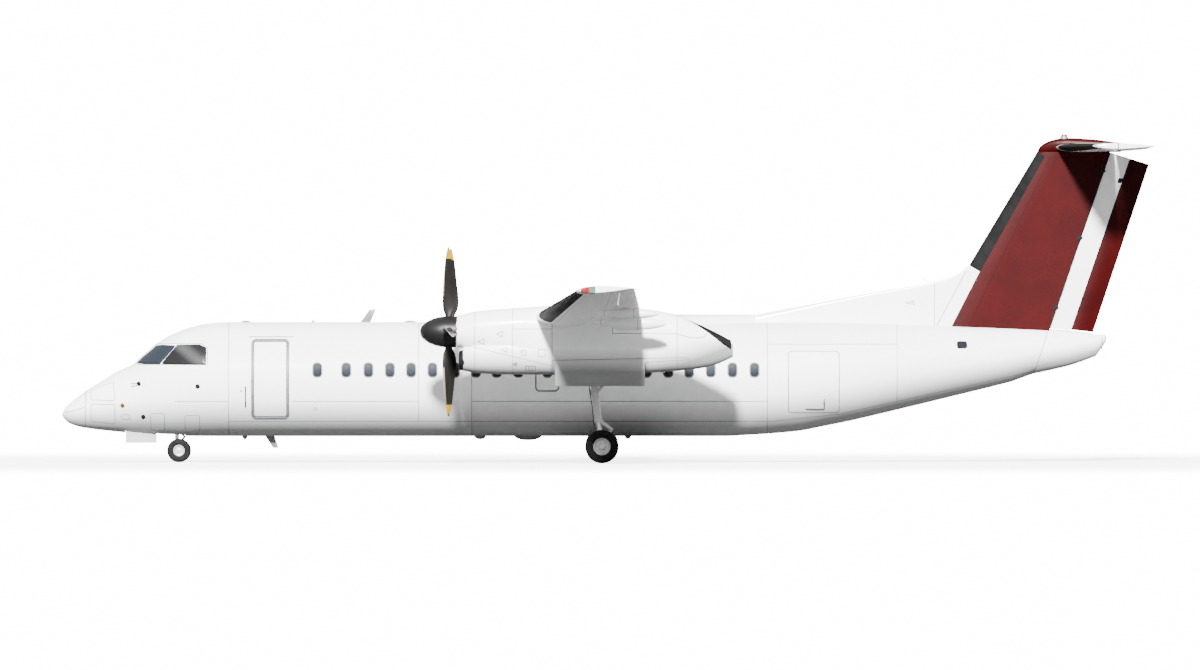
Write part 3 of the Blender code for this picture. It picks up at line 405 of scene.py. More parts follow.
def drawn(name, ring, stations, cap=True, axis="X"):
    """Draws a ring of (a, b) points out along an axis.

    A station is (x, y, z, size along a, size along b[, lean]), about the ring's own zero.
    """
    spot = {"X": (1, 2), "Y": (0, 2), "Z": (0, 1)}[axis]
    first = stations[0]
    deselect()
    bpy.ops.mesh.primitive_circle_add(vertices=len(ring), fill_type="NGON" if cap else "NOTHING")
    obj = bpy.context.object
    for vert, (a, b) in zip(obj.data.vertices, ring):
        vert.co = first[:3]
        vert.co[spot[0]] += a * first[3]
        vert.co[spot[1]] += b * first[4]
    begin(name)
    bpy.ops.mesh.select_mode(type="EDGE")
    bpy.ops.mesh.select_all(action="SELECT")
    here = first
    for row in stations[1:]:
        step = [row[i] - here[i] for i in range(3)]
        grow = [1.0, 1.0, 1.0]
        grow[spot[0]] = row[3] / here[3]
        grow[spot[1]] = row[4] / here[4]
        bpy.ops.mesh.extrude_edges_move(TRANSFORM_OT_translate={"value": step})
        bpy.ops.transform.resize(value=grow, center_override=row[:3])
        here = row
    if cap:
        bpy.ops.mesh.edge_face_add()
    leaning = [row for row in stations if len(row) > 5 and row[5]]
    if leaning:
        mesh = bmesh.from_edit_mesh(obj.data)
        for vert in mesh.verts:
            row = min(leaning, key=lambda r: abs(r[0] - vert.co.x))
            if abs(vert.co.x - row[0]) < 1e-4:
                vert.co.x += row[5] * (vert.co.z - row[2])
        bmesh.update_edit_mesh(obj.data)
    return close(obj)


def spindle(name, start, end, rows, sides=40):
    """A turned bar between two points. Rows are (distance from the start, radius)."""
    start, end = Vector(start), Vector(end)
    made = drawn(name, circle_ring(sides), [(0, 0, d, r, r) for d, r in rows], True, "Z")
    turn = (end - start).to_track_quat("Z", "Y").to_matrix().to_4x4()
    made.data.transform(Matrix.Translation(start) @ turn)
    return made


def strap(name, start, end, radii, y, half, edge=0.005):
    """A flat link in side view, round at both ends. Points are (x, z)."""
    start, end = Vector(start), Vector(end)
    run = (end - start).normalized()
    facing = math.atan2(run.y, run.x)
    outline = []
    for centre, radius, base in ((end, radii[1], -math.pi / 2), (start, radii[0], math.pi / 2)):
        for k in range(13):
            a = facing + base + math.pi * k / 12
            outline.append((centre.x + radius * math.cos(a), centre.y + radius * math.sin(a)))
    return slab(name, outline, "Y", y - half, y + half, edge, 2)


def lofted(name, rings, caps=True, closed=True):
    """A skin over rings or lines of points, all with the same count."""
    mesh = bmesh.new()
    rows = [[mesh.verts.new(point) for point in ring] for ring in rings]
    for near, far in zip(rows, rows[1:]):
        for i in range(0 if closed else 1, len(near)):
            mesh.faces.new((near[i - 1], near[i], far[i], far[i - 1]))
    if caps:
        mesh.faces.new(rows[0])
        mesh.faces.new(rows[-1][::-1])
    data = bpy.data.meshes.new(name)
    mesh.to_mesh(data)
    mesh.free()
    obj = bpy.data.objects.new(name, data)
    bpy.context.scene.collection.objects.link(obj)
    return close(obj)


def wire(name, points, radius, sides=3, closed=False):
    """A bar or line along points."""
    curve = bpy.data.curves.new(name, "CURVE")
    curve.dimensions = "3D"
    line = curve.splines.new("POLY")
    line.points.add(len(points) - 1)
    for point, place in zip(line.points, points):
        point.co = (*place, 1)
    line.use_cyclic_u = closed
    curve.bevel_depth = radius
    curve.bevel_resolution = sides
    curve.use_fill_caps = not closed
    obj = bpy.data.objects.new(name, curve)
    bpy.context.scene.collection.objects.link(obj)
    take_up(obj)
    bpy.ops.object.convert(target="MESH")
    return close(bpy.context.object)


def curve_through(rows, x):
    """Reads a table at x on a smooth line that never overshoots."""
    xs = [row[0] for row in rows]
    i = next((k for k in range(len(xs) - 2) if x <= xs[k + 1]), len(xs) - 2)
    width = xs[i + 1] - xs[i]
    t = (x - xs[i]) / width
    out = []
    for column in range(1, len(rows[0])):
        values = [row[column] for row in rows]

        def slope(k):
            if k == 0 or k == len(xs) - 1:
                j = min(k, len(xs) - 2)
                return (values[j + 1] - values[j]) / (xs[j + 1] - xs[j])
            before = (values[k] - values[k - 1]) / (xs[k] - xs[k - 1])
            after = (values[k + 1] - values[k]) / (xs[k + 1] - xs[k])
            if before * after <= 0:
                return 0.0
            return 2 * before * after / (before + after)

        a, b = values[i], values[i + 1]
        m, n = slope(i) * width, slope(i + 1) * width
        out.append(
            (2 * t**3 - 3 * t**2 + 1) * a + (t**3 - 2 * t**2 + t) * m
            + (3 * t**2 - 2 * t**3) * b + (t**3 - t**2) * n
        )
    return out


def station(table, x, y=0.0, grow=0.0):
    """A station for drawn() from a table of top z, lowest z and half width."""
    top, low, half = curve_through(table, x)
    return (x, y, (top + low) / 2, half + grow, (top - low) / 2 + grow)


def hull_side(x, z, proud=0.0):
    """The half width of the hull at a point of its side view."""
    _, _, middle, wide, high = station(HULL, x, grow=proud)
    up = (z - middle) / high
    return wide * math.sqrt(max(0.0, 1 - up * up))


def circle_ring(count):
    return [
        (math.cos(math.tau * (i + 0.5) / count), math.sin(math.tau * (i + 0.5) / count))
        for i in range(count)
    ]


def hull_stations(x_from, x_to, groove=0.0045):
    """Hull stations, pinched at each end so that the joint reads as a groove."""
    if x_from < -12.8:
        xs = [x_from, -12.837, -12.83, -12.815, -12.79, -12.75, -12.70, -12.63]
    else:
        xs = [x_from, x_from + groove]
    while True:
        step = 0.09 if xs[-1] < -8.95 else 0.16 if xs[-1] > 3.0 else 0.86
        if xs[-1] + step * 1.4 > x_to:
            break
        xs.append(xs[-1] + step)
    xs += [x_to - groove, x_to]
    made = []
    for x in xs:
        at_joint = x in (x_from, x_to) and -12.8 < x < 11.7
        lean = TAIL_LEAN * max(0.0, 1 - abs(x - JOINTS[5]) / 0.7)
        made.append((*station(HULL, x, grow=-groove if at_joint else 0.0), lean))
    return made


def fill_in(points, step=0.035, closed=True):
    """Adds points along an outline, or along an open line."""
    made = []
    for first, last in zip(points, points[1:] + (points[:1] if closed else [])):
        first, last = Vector(first), Vector(last)
        count = max(1, math.ceil((last - first).length / step))
        made += [tuple(first.lerp(last, i / count)) for i in range(count)]
    return made if closed else made + points[-1:]


def hull_patch(name, outline, side, proud, thick, band=0.0, rings=(0.85, 0.6, 0.3)):
    """A plate on the hull, ringed towards its middle, or a band along its outline."""
    obj = reopen(flat_outline(name, fill_in(outline), "Y", side * HULL_CLEAR))
    bpy.ops.mesh.select_mode(type="FACE")
    if band:
        bpy.ops.mesh.inset(thickness=band)
        bpy.ops.mesh.delete(type="FACE")
    else:
        middle = sum((v.co for v in obj.data.vertices), Vector()) / len(obj.data.vertices)
        before = 1.0
        for share in rings:
            bpy.ops.mesh.extrude_region_move()
            bpy.ops.transform.resize(value=[share / before] * 3, center_override=middle)
            before = share
        bpy.ops.mesh.poke()
    bpy.ops.object.mode_set(mode="OBJECT")
    for vert in obj.data.vertices:
        vert.co.y = side * hull_side(vert.co.x, vert.co.z, proud)
    reopen(obj)
    bpy.ops.mesh.normals_make_consistent(inside=False)
    bpy.ops.object.mode_set(mode="OBJECT")
    if (obj.data.polygons[0].normal.y > 0) != (side > 0):
        obj.data.flip_normals()
    return modify(obj, "SOLIDIFY", thickness=thick, offset=-1)


def hull_seam(name, points, side, radius, proud, closed=False):
    """A fine bead of sealant drawn on the hull."""
    filled = fill_in(points, 0.035 if closed else 0.05, closed)
    line = [(x, side * hull_side(x, z, proud), z) for x, z in filled]
    return wire(name, line, radius, 1, closed)


# Finishes of this aircraft

hull_white = surface("hull_white", BRIGHT_WHITE, 0.5, vary=0.02, patch=0.5, grain=35,
                     relief=0.03, coat=0.02, stretch=(0.35, 1, 1), grime=0.03, shine=0.3)
# Painted shade: the hull is painted darker towards its underside.
belly_rows = ((-12.84, 1.22, 0.98), (-11.4, 1.42, 0.90), (-8.9, 1.52, 0.86), (3.1, 1.52, 0.86),
              (5.72, 1.84, 1.16), (8.08, 2.26, 1.74), (10.9, 2.74, 2.45), (11.8, 2.94, 2.70))
shade_belly(hull_white, belly_rows)
side_seams = (
    ((-12.277, 0.75), (-12.277, 1.75)), ((-8.897, 0.5), (-8.897, 3.4)),
    ((-4.431, 0.966), (-4.431, 3.4)), ((-3.181, 0.5), (-3.181, 3.4)),
    ((3.769, 0.5), (3.769, 3.4)), ((6.822, 1.444), (6.822, 3.4)),
    ((10.39, 3.10), (10.07, 2.151)),
    ((-10.157, 1.435), (-8.897, 1.435)), ((-7.397, 1.435), (-4.431, 1.435)),
    ((-3.181, 1.435), (3.769, 1.435)), ((3.769, 2.782), (6.822, 2.782)),
    ((-8.897, 0.966), (3.90, 0.966)), ((3.90, 0.966), (5.45, 1.13)),
    ((5.45, 1.13), (9.494, 2.019)), ((9.494, 2.019), (10.07, 2.151)),
)
seam_lines(hull_white, side_seams, 0.012, 0.76, PANEL_SEAM)
seal_grey = surface("seal_grey", (0.075, 0.077, 0.079), 0.5, vary=0.06, patch=6, grain=220)
fitting_white = surface("fitting_white", (0.82, 0.825, 0.83), 0.28, vary=0.03, patch=2,
                        grain=90, relief=0.04, coat=0.3)
dark_gap = surface("dark_gap", (0.008, 0.008, 0.009), 0.7, vary=0.2, patch=4, grain=150,
                   shine=0.06)


# Hull

SECTIONS = ("nose_cone", "fuselage_nose", "fuselage_front", "fuselage_center", "fuselage_rear",
            "tail_cone")
hull = {section: drawn(section + "_skin", circle_ring(144), hull_stations(x_from, x_to))
        for section, x_from, x_to in zip(SECTIONS, JOINTS, JOINTS[1:])}

# Doors come out of a copy of the skin, and leave their openings behind
DOOR_GAP, DOOR_DEPTH, DOORWAY_BACK = 0.008, 0.09, -0.30
BAGGAGE = (4.265, 5.455, 1.175, 2.615)
NOSE_BAY = ((-11.35, -0.25, 0.4), (-9.93, 0.25, 1.45))


def hull_part(name, section, outline, side, depth, reach):
    """A piece of the skin inside an outline, as thick as depth."""
    piece = copy_of(hull[section], name)
    cut_from(piece, slab("keep", outline, "Y", side * reach, side * HULL_CLEAR), "INTERSECT")
    if depth:
        rows = [(x, y, z, wide - depth, high - depth) for x, y, z, wide, high, _ in
                hull_stations(outline[0][0] - 1.5, outline[0][0] + 1.5)]
        cut_from(piece, drawn("within", circle_ring(144), rows))
    return piece


def shrunk(box, gap):
    return (box[0] + gap, box[1] - gap, box[2] + gap, box[3] - gap)


door_shell = hull_part("entry_door_skin", "fuselage_front",
                       rectangle(*shrunk(DOOR, DOOR_GAP), 0.08), -1, DOOR_DEPTH, 0.5)
cut_from(hull["fuselage_front"],
         slab("doorway", rectangle(*DOOR, 0.088), "Y", -HULL_CLEAR, DOORWAY_BACK))
baggage_shell = hull_part("baggage_door_skin", "fuselage_rear",
                          rectangle(*shrunk(BAGGAGE, 0.006), 0.07), -1, 0, 1.02)
cut_from(hull["fuselage_rear"],
         slab("hatch", rectangle(*BAGGAGE, 0.076), "Y", -HULL_CLEAR, -1.015))
cut_from(hull["fuselage_nose"], block("bay", *NOSE_BAY))


def window_outline(x, out=0.0):
    """A cabin window's outline, drawn some way outside its opening."""
    wide, high, corner = (size + out for size in WINDOW_SIZE)
    return rectangle(x - wide, x + wide, WINDOW_Z - high, WINDOW_Z + high, corner)


for section, x_from, x_to in zip(SECTIONS[2:4], JOINTS[2:], JOINTS[3:]):
    openings = [slab("opening", window_outline(x), "Y", side * 1.26, side * 1.6)
                for x in WINDOWS if x_from < x < x_to for side, _ in SIDES]
    cut_from(hull[section], joined(openings, "openings"))

cabin_glass = surface("cabin_glass", (0.0130, 0.0162, 0.0225), 0.42, vary=0.2, patch=2.5,
                      grain=12, relief=0.01, shine=0.04)
# Painted reflection: the panes are painted lighter towards their tops, as if they mirrored the sky.
tree = cabin_glass.node_tree
height = place_of(tree)[3]
overpaint(cabin_glass, ramp(tree, height, WINDOW_Z - 0.02, WINDOW_Z + 0.20),
          (0.034, 0.0375, 0.0435))
for side, hand in SIDES:
    for label, out, proud, thick, band, finish, slot in (
        ("cabin_panes", 0.002, -0.012, 0.01, 0, cabin_glass, "tinted_glass"),
        ("cabin_window_rims", 0.018, 0.003, 0.018, 0.026, seal_grey, None),
    ):
        pieces = [hull_patch("piece", window_outline(x, out), side, proud, thick, band, (0.8, 0.45))
                  for x in WINDOWS]
        done(joined(pieces, f"{label}_{hand}"), finish)

bay_green = surface("bay_primer", (0.42, 0.46, 0.36), 0.5, vary=0.08, patch=2.5, grain=80,
                    grime=0.35)
lining = surface("cabin_lining", (0.26, 0.255, 0.235), 0.6, vary=0.05, patch=3, grain=120)
for section, skin in hull.items():
    done(skin, [hull_white, bay_green, lining], replaces=section)


def inside_finish(obj, low, high, index):
    """Gives the faces within a box another of the piece's finishes."""
    for face in obj.data.polygons:
        if all(a - 0.001 <= c <= b + 0.001 for a, c, b in zip(low, face.center, high)):
            face.material_index = index


inside_finish(hull["fuselage_nose"], (*NOSE_BAY[0][:2], 0.67), NOSE_BAY[1], 1)
inside_finish(hull["fuselage_front"], (DOOR[0], -0.95, DOOR[2]), (DOOR[1], DOORWAY_BACK, DOOR[3]),
              2)


# Entry door with its steps, baggage door and exits

door_paint = surface("door_paint", BRIGHT_WHITE, 0.5, vary=0.02, patch=0.8, grain=35,
                     relief=0.03, coat=0.02, grime=0.03, shine=0.3)
# Painted shade: the door darkens towards its foot like the hull.
shade_belly(door_paint, belly_rows)
door_seal = surface("door_seal", (0.085, 0.087, 0.089), 0.55, vary=0.08, patch=6, grain=200)
tread_metal = surface("tread_metal", (0.42, 0.43, 0.44), 0.45, vary=0.12, patch=6, grain=300,
                      relief=0.5, metal=0.6)
bare_metal = surface("bare_metal", (0.62, 0.63, 0.64), 0.28, vary=0.08, patch=6, grain=140,
                     relief=0.1, metal=0.9)


def on_door(z, deep):
    """The y of a point some way in from the door's outer skin."""
    return -hull_side(-8.0, z) + deep


DOOR_MID = (DOOR[0] + DOOR[1]) / 2
DOOR_FALL = math.radians(115)
FIRST_STEP, STEP_RISE = 1.25, 0.31
steps = []
for k in range(5):
    z = FIRST_STEP + STEP_RISE * k
    middle = Vector((DOOR_MID, on_door(z, DOOR_DEPTH + 0.085), z))
    tread = reopen(block("tread", (-0.30, -0.115, -0.014), (0.30, 0.115, 0.014), 0.006, 2))
    pick(tread, lambda c, n: n.z > 0.9 and abs(c.y) < 0.09)
    bpy.ops.mesh.inset(thickness=0.012)
    bpy.ops.mesh.extrude_region_move(TRANSFORM_OT_translate={"value": (0, 0, -0.003)})
    close(tread)
    tread.data.transform(Matrix.Translation(middle) @ Matrix.Rotation(-DOOR_FALL, 4, "X"))
    steps.append(tread)
done(joined(steps, "airstair_treads"), tread_metal, body="entry_door")
strings, rails = [], []
for x in (DOOR_MID - 0.335, DOOR_MID + 0.305):
    rows = [1.16 + 0.13 * k for k in range(13)]
    outline = [(on_door(z, DOOR_DEPTH - 0.004), z) for z in rows]
    outline += [(on_door(z, DOOR_DEPTH + 0.15 * min(1, 8 * (z - 1.10), 8 * (2.80 - z))), z)
                for z in rows[::-1]]
    strings.append(slab("string", outline, "X", x, x + 0.03, 0.004, 2))
for side in (-1, 1):
    x = DOOR_MID + side * 0.355
    line = [(x, on_door(z, DOOR_DEPTH + d), z) for z, d in
            ((1.22, 0.0), (1.24, 0.16), (1.34, 0.24), (1.96, 0.27), (2.58, 0.24), (2.68, 0.16),
             (2.70, 0.0))]
    rails.append(wire("rail", line, 0.012, 4))
done(joined(strings, "airstair_strings"), fitting_white, body="entry_door")
done(joined(rails, "airstair_rails"), bare_metal, body="entry_door")
DOOR_HINGE = (-0.9945, 1.049)
done(rod("entry_door_hinge_tube", (DOOR[0] + 0.04, *DOOR_HINGE), (DOOR[1] - 0.04, *DOOR_HINGE),
         0.0156), door_seal, body="entry_door")
done(door_shell, door_paint, body="entry_door", replaces="entry_door")
done(baggage_shell, door_paint, replaces="baggage_door")
for name, box, gap, corner, proud, thick, band, seal, body in (
    ("entry_door_edge_band", DOOR, DOOR_GAP + 0.002, 0.078, 0.0015, 0.01, 0.036, door_seal,
     "entry_door"),
    ("entry_door_surround", DOOR, -0.028, 0.114, 0.002, 0.012, 0.027, door_seal, "airframe"),
    ("baggage_door_surround", BAGGAGE, -0.012, 0.088, 0.002, 0.012, 0.016, seal_grey, "airframe"),
):
    outline = rectangle(*shrunk(box, gap), corner)
    done(hull_patch(name, outline, -1, proud, thick, band), seal, body=body)
done(block("vestibule_floor", (DOOR[0] + 0.002, -0.93, DOOR[2] + 0.001),
           (DOOR[1] - 0.002, DOORWAY_BACK - 0.002, DOOR[2] + 0.012), 0.002, 1), door_seal)
done(block("vestibule_panel", (DOOR[0] + 0.10, DOORWAY_BACK - 0.015, 1.20),
           (DOOR[1] - 0.10, DOORWAY_BACK - 0.002, 2.72), 0.005, 2), fitting_white)
for side, hand in SIDES:
    done(hull_patch(f"emergency_exit_{hand}_line", rectangle(-1.69, -1.12, 1.665, 2.72, 0.11),
                    side, proud=0.002, thick=0.012, band=0.034), seal_grey)


# Cockpit glass

WINDSHIELD = ((-11.088, 2.332), (-10.520, 2.325), (-10.150, 2.752), (-10.60, 2.750))
SIDE_WINDOW = ((-10.464, 2.326), (-9.435, 2.324), (-9.435, 2.693), (-9.590, 2.762),
               (-10.099, 2.758))
cockpit_glass = surface("cockpit_glass", (0.0130, 0.0165, 0.0220), 0.3, vary=0.08, patch=1.6,
                        grain=9, relief=0.0, shine=0.12)
side_glass = surface("side_glass", (0.0105, 0.0105, 0.011), 0.3, vary=0.12, patch=1.6, grain=9,
                     relief=0.0, shine=0.12)
# Painted reflection: a lighter band runs slantwise across the cockpit side windows.
tree = side_glass.node_tree
_, length, _, height = place_of(tree)
sheen = sum_up(tree, "MULTIPLY_ADD", height, 1.25, length)
band = sum_up(tree, "MULTIPLY", ramp(tree, sheen, -6.95, -6.62),
              ramp(tree, sheen, -6.60, -6.25, 1.0, 0.0))
overpaint(side_glass, sum_up(tree, "MULTIPLY", band, 0.8), (0.055, 0.055, 0.056))
for side, hand in SIDES:
    for label, points, glass in (("windshield", WINDSHIELD, cockpit_glass),
                                 ("cockpit_side_window", SIDE_WINDOW, side_glass)):
        outline = rounded(points, 0.024)
        pane = hull_patch(f"{label}_{hand}_pane", outline, side, proud=0.008, thick=0.02,
                          rings=(0.9, 0.78, 0.65, 0.52, 0.38, 0.24, 0.1))
        done(pane, glass, replaces=f"{label}_{hand}")
        done(hull_patch(f"{label}_{hand}_frame", outline, side, proud=0.011, thick=0.02,
                        band=0.022), dark_gap)
    surround = rounded([(-11.16, 2.305), (-9.385, 2.295), (-9.385, 2.70), (-9.56, 2.80),
                        (-10.62, 2.79)], 0.05)
    done(hull_seam(f"cockpit_surround_{hand}", surround, side, radius=0.009, proud=-0.004,
                   closed=True), seal_grey)


# Wing forms

HALF_SPAN, KINK_Y, TIP_ROUND = 13.715, 4.46, 0.12
FLAP_IN, FLAP_OUT, AILERON = (1.42, 3.42, 0.72), (4.50, 9.22, 0.72), (9.34, 13.02, 0.74)
CAMBER, THICK = 0.004, 0.175


def foil(count=34, thick=THICK, camber=CAMBER, stop=1.0):
    """A wing section of unit chord, round the tail, under side, nose and upper side."""
    shares = [0.5 * (1 - math.cos(math.pi * i / (count - 1))) * stop for i in range(count)]

    def point(t, way):
        half = 5 * thick * (0.2969 * math.sqrt(t) - 0.126 * t - 0.3516 * t**2
                            + 0.2843 * t**3 - 0.1015 * t**4)
        return (t, 4 * camber * t * (1 - t) + way * half)

    return [point(t, -1) for t in shares[::-1]] + [point(t, 1) for t in shares[1:]]


def wing_row(y):
    """The leading edge x and z, the chord, the thickness ratio and the tail's rise at y."""
    share = max(0.0, (abs(y) - KINK_Y) / (HALF_SPAN - KINK_Y))
    return (-1.649 + share * 0.989, 3.42 + share * 0.60, 2.46 - share * 1.18,
            THICK - share * 0.045, share * 0.05)


def wing_at(y, share):
    """A point of the wing's middle surface, at a share of the chord."""
    x, z, chord, _, rise = wing_row(y)
    return Vector((x + share * chord, y, z + rise * share))


def wing_form(name, y_from, y_to, grow=0.0, ring=None, cap=True):
    """The wing's shape between two distances from the centre, out to a rounded tip."""
    ys = [y_from, 0.0, y_to] if y_from * y_to < 0 else [y_from, y_to]
    if abs(y_to) > HALF_SPAN - 0.001:
        ys = [y_from] + [math.copysign(HALF_SPAN - TIP_ROUND * (1 - t), y_to)
                         for t in (0.0, 0.2, 0.4, 0.6, 0.8, 0.93, 1.0)]
    rows = []
    for y in ys:
        x, z, chord, thick, _ = wing_row(y)
        out = max(0.0, (abs(y) - HALF_SPAN + TIP_ROUND) / TIP_ROUND)
        shrink = 0.86 + 0.14 * math.sqrt(max(0.0, 1 - out**2))
        middle = x + chord / 2
        chord = chord * shrink + 2 * grow
        rows.append((middle - chord / 2, y, z, chord, chord * thick / THICK + 2 * grow))
    obj = drawn(name, ring or foil(), rows, cap, "Y")
    for vert in obj.data.vertices:
        x, _, chord, _, rise = wing_row(vert.co.y)
        vert.co.z += rise * (vert.co.x - x) / chord
    return obj


def sliced(obj, planes):
    """Keeps what lies on the side that each plane's normal points to."""
    reopen(obj)
    for at, normal in planes:
        bpy.ops.mesh.select_all(action="SELECT")
        bpy.ops.mesh.bisect(plane_co=at, plane_no=normal, use_fill=True, clear_inner=True)
    return close(obj)


def tail_piece(name, form, side, span, gap, nose):
    """A flap or aileron, sliced off a copy of the wing behind its hinge line."""
    inner, outer, share = span
    start = wing_at(side * inner, share)
    run = wing_at(side * outer, share) - start
    square = Vector((abs(run.y), -run.x * side, 0)).normalized()
    obj = sliced(copy_of(form, name), [
        (start + square * gap, square),
        ((0, side * (inner + gap), 0), (0, side, 0)),
        ((0, side * (outer - gap), 0), (0, -side, 0)),
    ])

    def front(c, d):
        return abs((c - start - square * gap).dot(square)) < 0.002 and abs(d.y) > 0.5

    pick(reopen(obj), front, "EDGE")
    bpy.ops.mesh.bevel(offset=nose, segments=6, affect="EDGES", profile=0.6)
    return close(obj)


def tail_bay(form, side, span):
    """Cuts the place of a flap or aileron out of the wing's rear."""
    inner, outer, share = span
    front = [(wing_at(side * y, share).x, side * y) for y in (inner, outer)]
    rear = [(x + 3, y) for x, y in front[::-1]]
    return cut_from(form, slab("bay", (front + rear)[::side], "Z", 3.0, 4.6))


# Nacelles

PROP_Y, PROP_Z, PROP_X = 3.94, 3.074, -3.70
# Nacelle stations: x, top z, lowest z, half width
NACELLE = (
    (-3.50, 3.440, 2.190, 0.375), (-3.08, 3.545, 2.106, 0.425), (-2.21, 3.623, 2.071, 0.465),
    (-1.28, 3.685, 2.066, 0.480), (-0.16, 3.685, 2.092, 0.480), (0.90, 3.600, 2.113, 0.470),
    (1.66, 3.458, 2.165, 0.420), (2.06, 3.270, 2.203, 0.365), (2.51, 3.046, 2.294, 0.270),
    (2.94, 2.775, 2.483, 0.130),
)
COWL_FRONT, COWL_JOINT, NACELLE_REAR = -3.50, -1.28, 2.94
# The bay of the main gear
BAY_FRONT, BAY_REAR, BAY_HALF, BAY_TOP = -1.20, 0.88, 0.36, 2.98
# The upper cowl, round behind the propeller, and the chin duct under it
COWL = (
    (-3.50, 3.440, 2.709, 0.368), (-3.30, 3.500, 2.690, 0.402), (-3.08, 3.545, 2.640, 0.430),
    (-2.21, 3.623, 2.440, 0.467), (-1.28, 3.685, 2.066, 0.480),
)
CHIN = (
    (-3.36, 2.705, 2.168, 0.340), (-3.08, 2.830, 2.110, 0.405), (-2.21, 3.0, 2.071, 0.455),
    (-1.285, 3.0, 2.072, 0.474),
)


def full_ring(count, square):
    """A round ring filled out towards its corners."""
    return [
        (math.copysign(abs(a) ** (2 / square), a), math.copysign(abs(b) ** (2 / square), b))
        for a, b in circle_ring(count)
    ]


def spread(first, last, count):
    """Places at even steps from the first to the last."""
    return [first + (last - first) * i / count for i in range(count + 1)]


cowl_white = surface("cowl_white", BRIGHT_WHITE, 0.4, vary=0.025, patch=0.9, grain=45,
                     relief=0.03, coat=0.15, stretch=(0.4, 1, 1), grime=0.05, shine=0.3)
cowl_seams = (
    ((-3.09, 2.0), (-3.09, 3.6)), ((-2.207, 2.0), (-2.207, 3.7)), ((-1.284, 2.0), (-1.284, 3.7)),
    ((-2.207, 3.138), (-1.284, 3.138)), ((0.13, 3.032), (1.637, 3.032)),
    ((0.13, 3.032), (0.13, 3.5)),
    ((1.637, 2.15), (1.637, 3.47)), ((-3.298, 2.759), (-3.084, 2.709)),
    ((-3.084, 2.709), (-1.284, 2.278)), ((-1.279, 2.405), (1.90, 2.472)),
    ((0.902, 2.363), (1.925, 2.422)), ((1.925, 2.17), (1.925, 2.422)),
)
cowl_marks = (
    *loop_lines((-3.011, 2.841), (-2.876, 2.909), (-2.876, 2.773)),
    *loop_lines((-2.577, 3.02), (-2.443, 3.088), (-2.443, 2.952)),
    *loop_lines((-2.471, 2.655), (-2.337, 2.723), (-2.337, 2.587)),
    *loop_lines((-2.0, 2.636), (-1.894, 2.636), (-1.894, 2.523), (-2.0, 2.523)),
    *loop_lines((-1.609, 2.657), (-1.446, 2.657), (-1.446, 2.49), (-1.609, 2.49)),
    *loop_lines((-1.903, 2.269), (-1.675, 2.269), (-1.675, 2.174), (-1.903, 2.174)),
    ((-1.828, 2.269), (-1.828, 2.174)), ((-1.75, 2.269), (-1.75, 2.174)),
    ((1.637, 3.03), (1.90, 2.945)), ((1.90, 2.945), (2.10, 2.926)),
    ((2.10, 2.926), (2.27, 2.955)), ((2.27, 2.955), (2.33, 3.02)),
)
vent_lines = loop_lines((-2.193, 2.311), (-2.115, 2.342), (-2.115, 2.283))
# Painted shade: the nacelle is painted darker towards its underside.
shade_belly(cowl_white, ((-3.50, 2.68, 2.16), (0.90, 2.68, 2.14), (1.66, 2.80, 2.28),
                         (2.20, 2.93, 2.46), (2.94, 3.08, 2.74)), 0.90)
seam_lines(cowl_white, cowl_seams, 0.0115, 0.76, PANEL_SEAM)
seam_lines(cowl_white, cowl_marks, 0.012, 0.85, FINE_MARK)
seam_lines(cowl_white, vent_lines, width=0.022, depth=0.8, colour=(0.06, 0.061, 0.062))
intake_black = surface("intake_black", (0.005, 0.005, 0.0055), 0.5, vary=0.2, patch=5, grain=120,
                       shine=0.08)
soot_black = surface("soot_black", (0.0065, 0.0062, 0.006), 0.7, vary=0.3, patch=4, grain=90,
                     relief=0.2, shine=0.06)


def mouth_ring(name, y, rows, cap=False):
    """A blunt oval of the chin's mouth. Rows are (x, z, half width, half height)."""
    stations = [(x, y, z, wide, high) for x, z, wide, high in rows]
    return drawn(name, full_ring(48, 2.5), stations, cap)


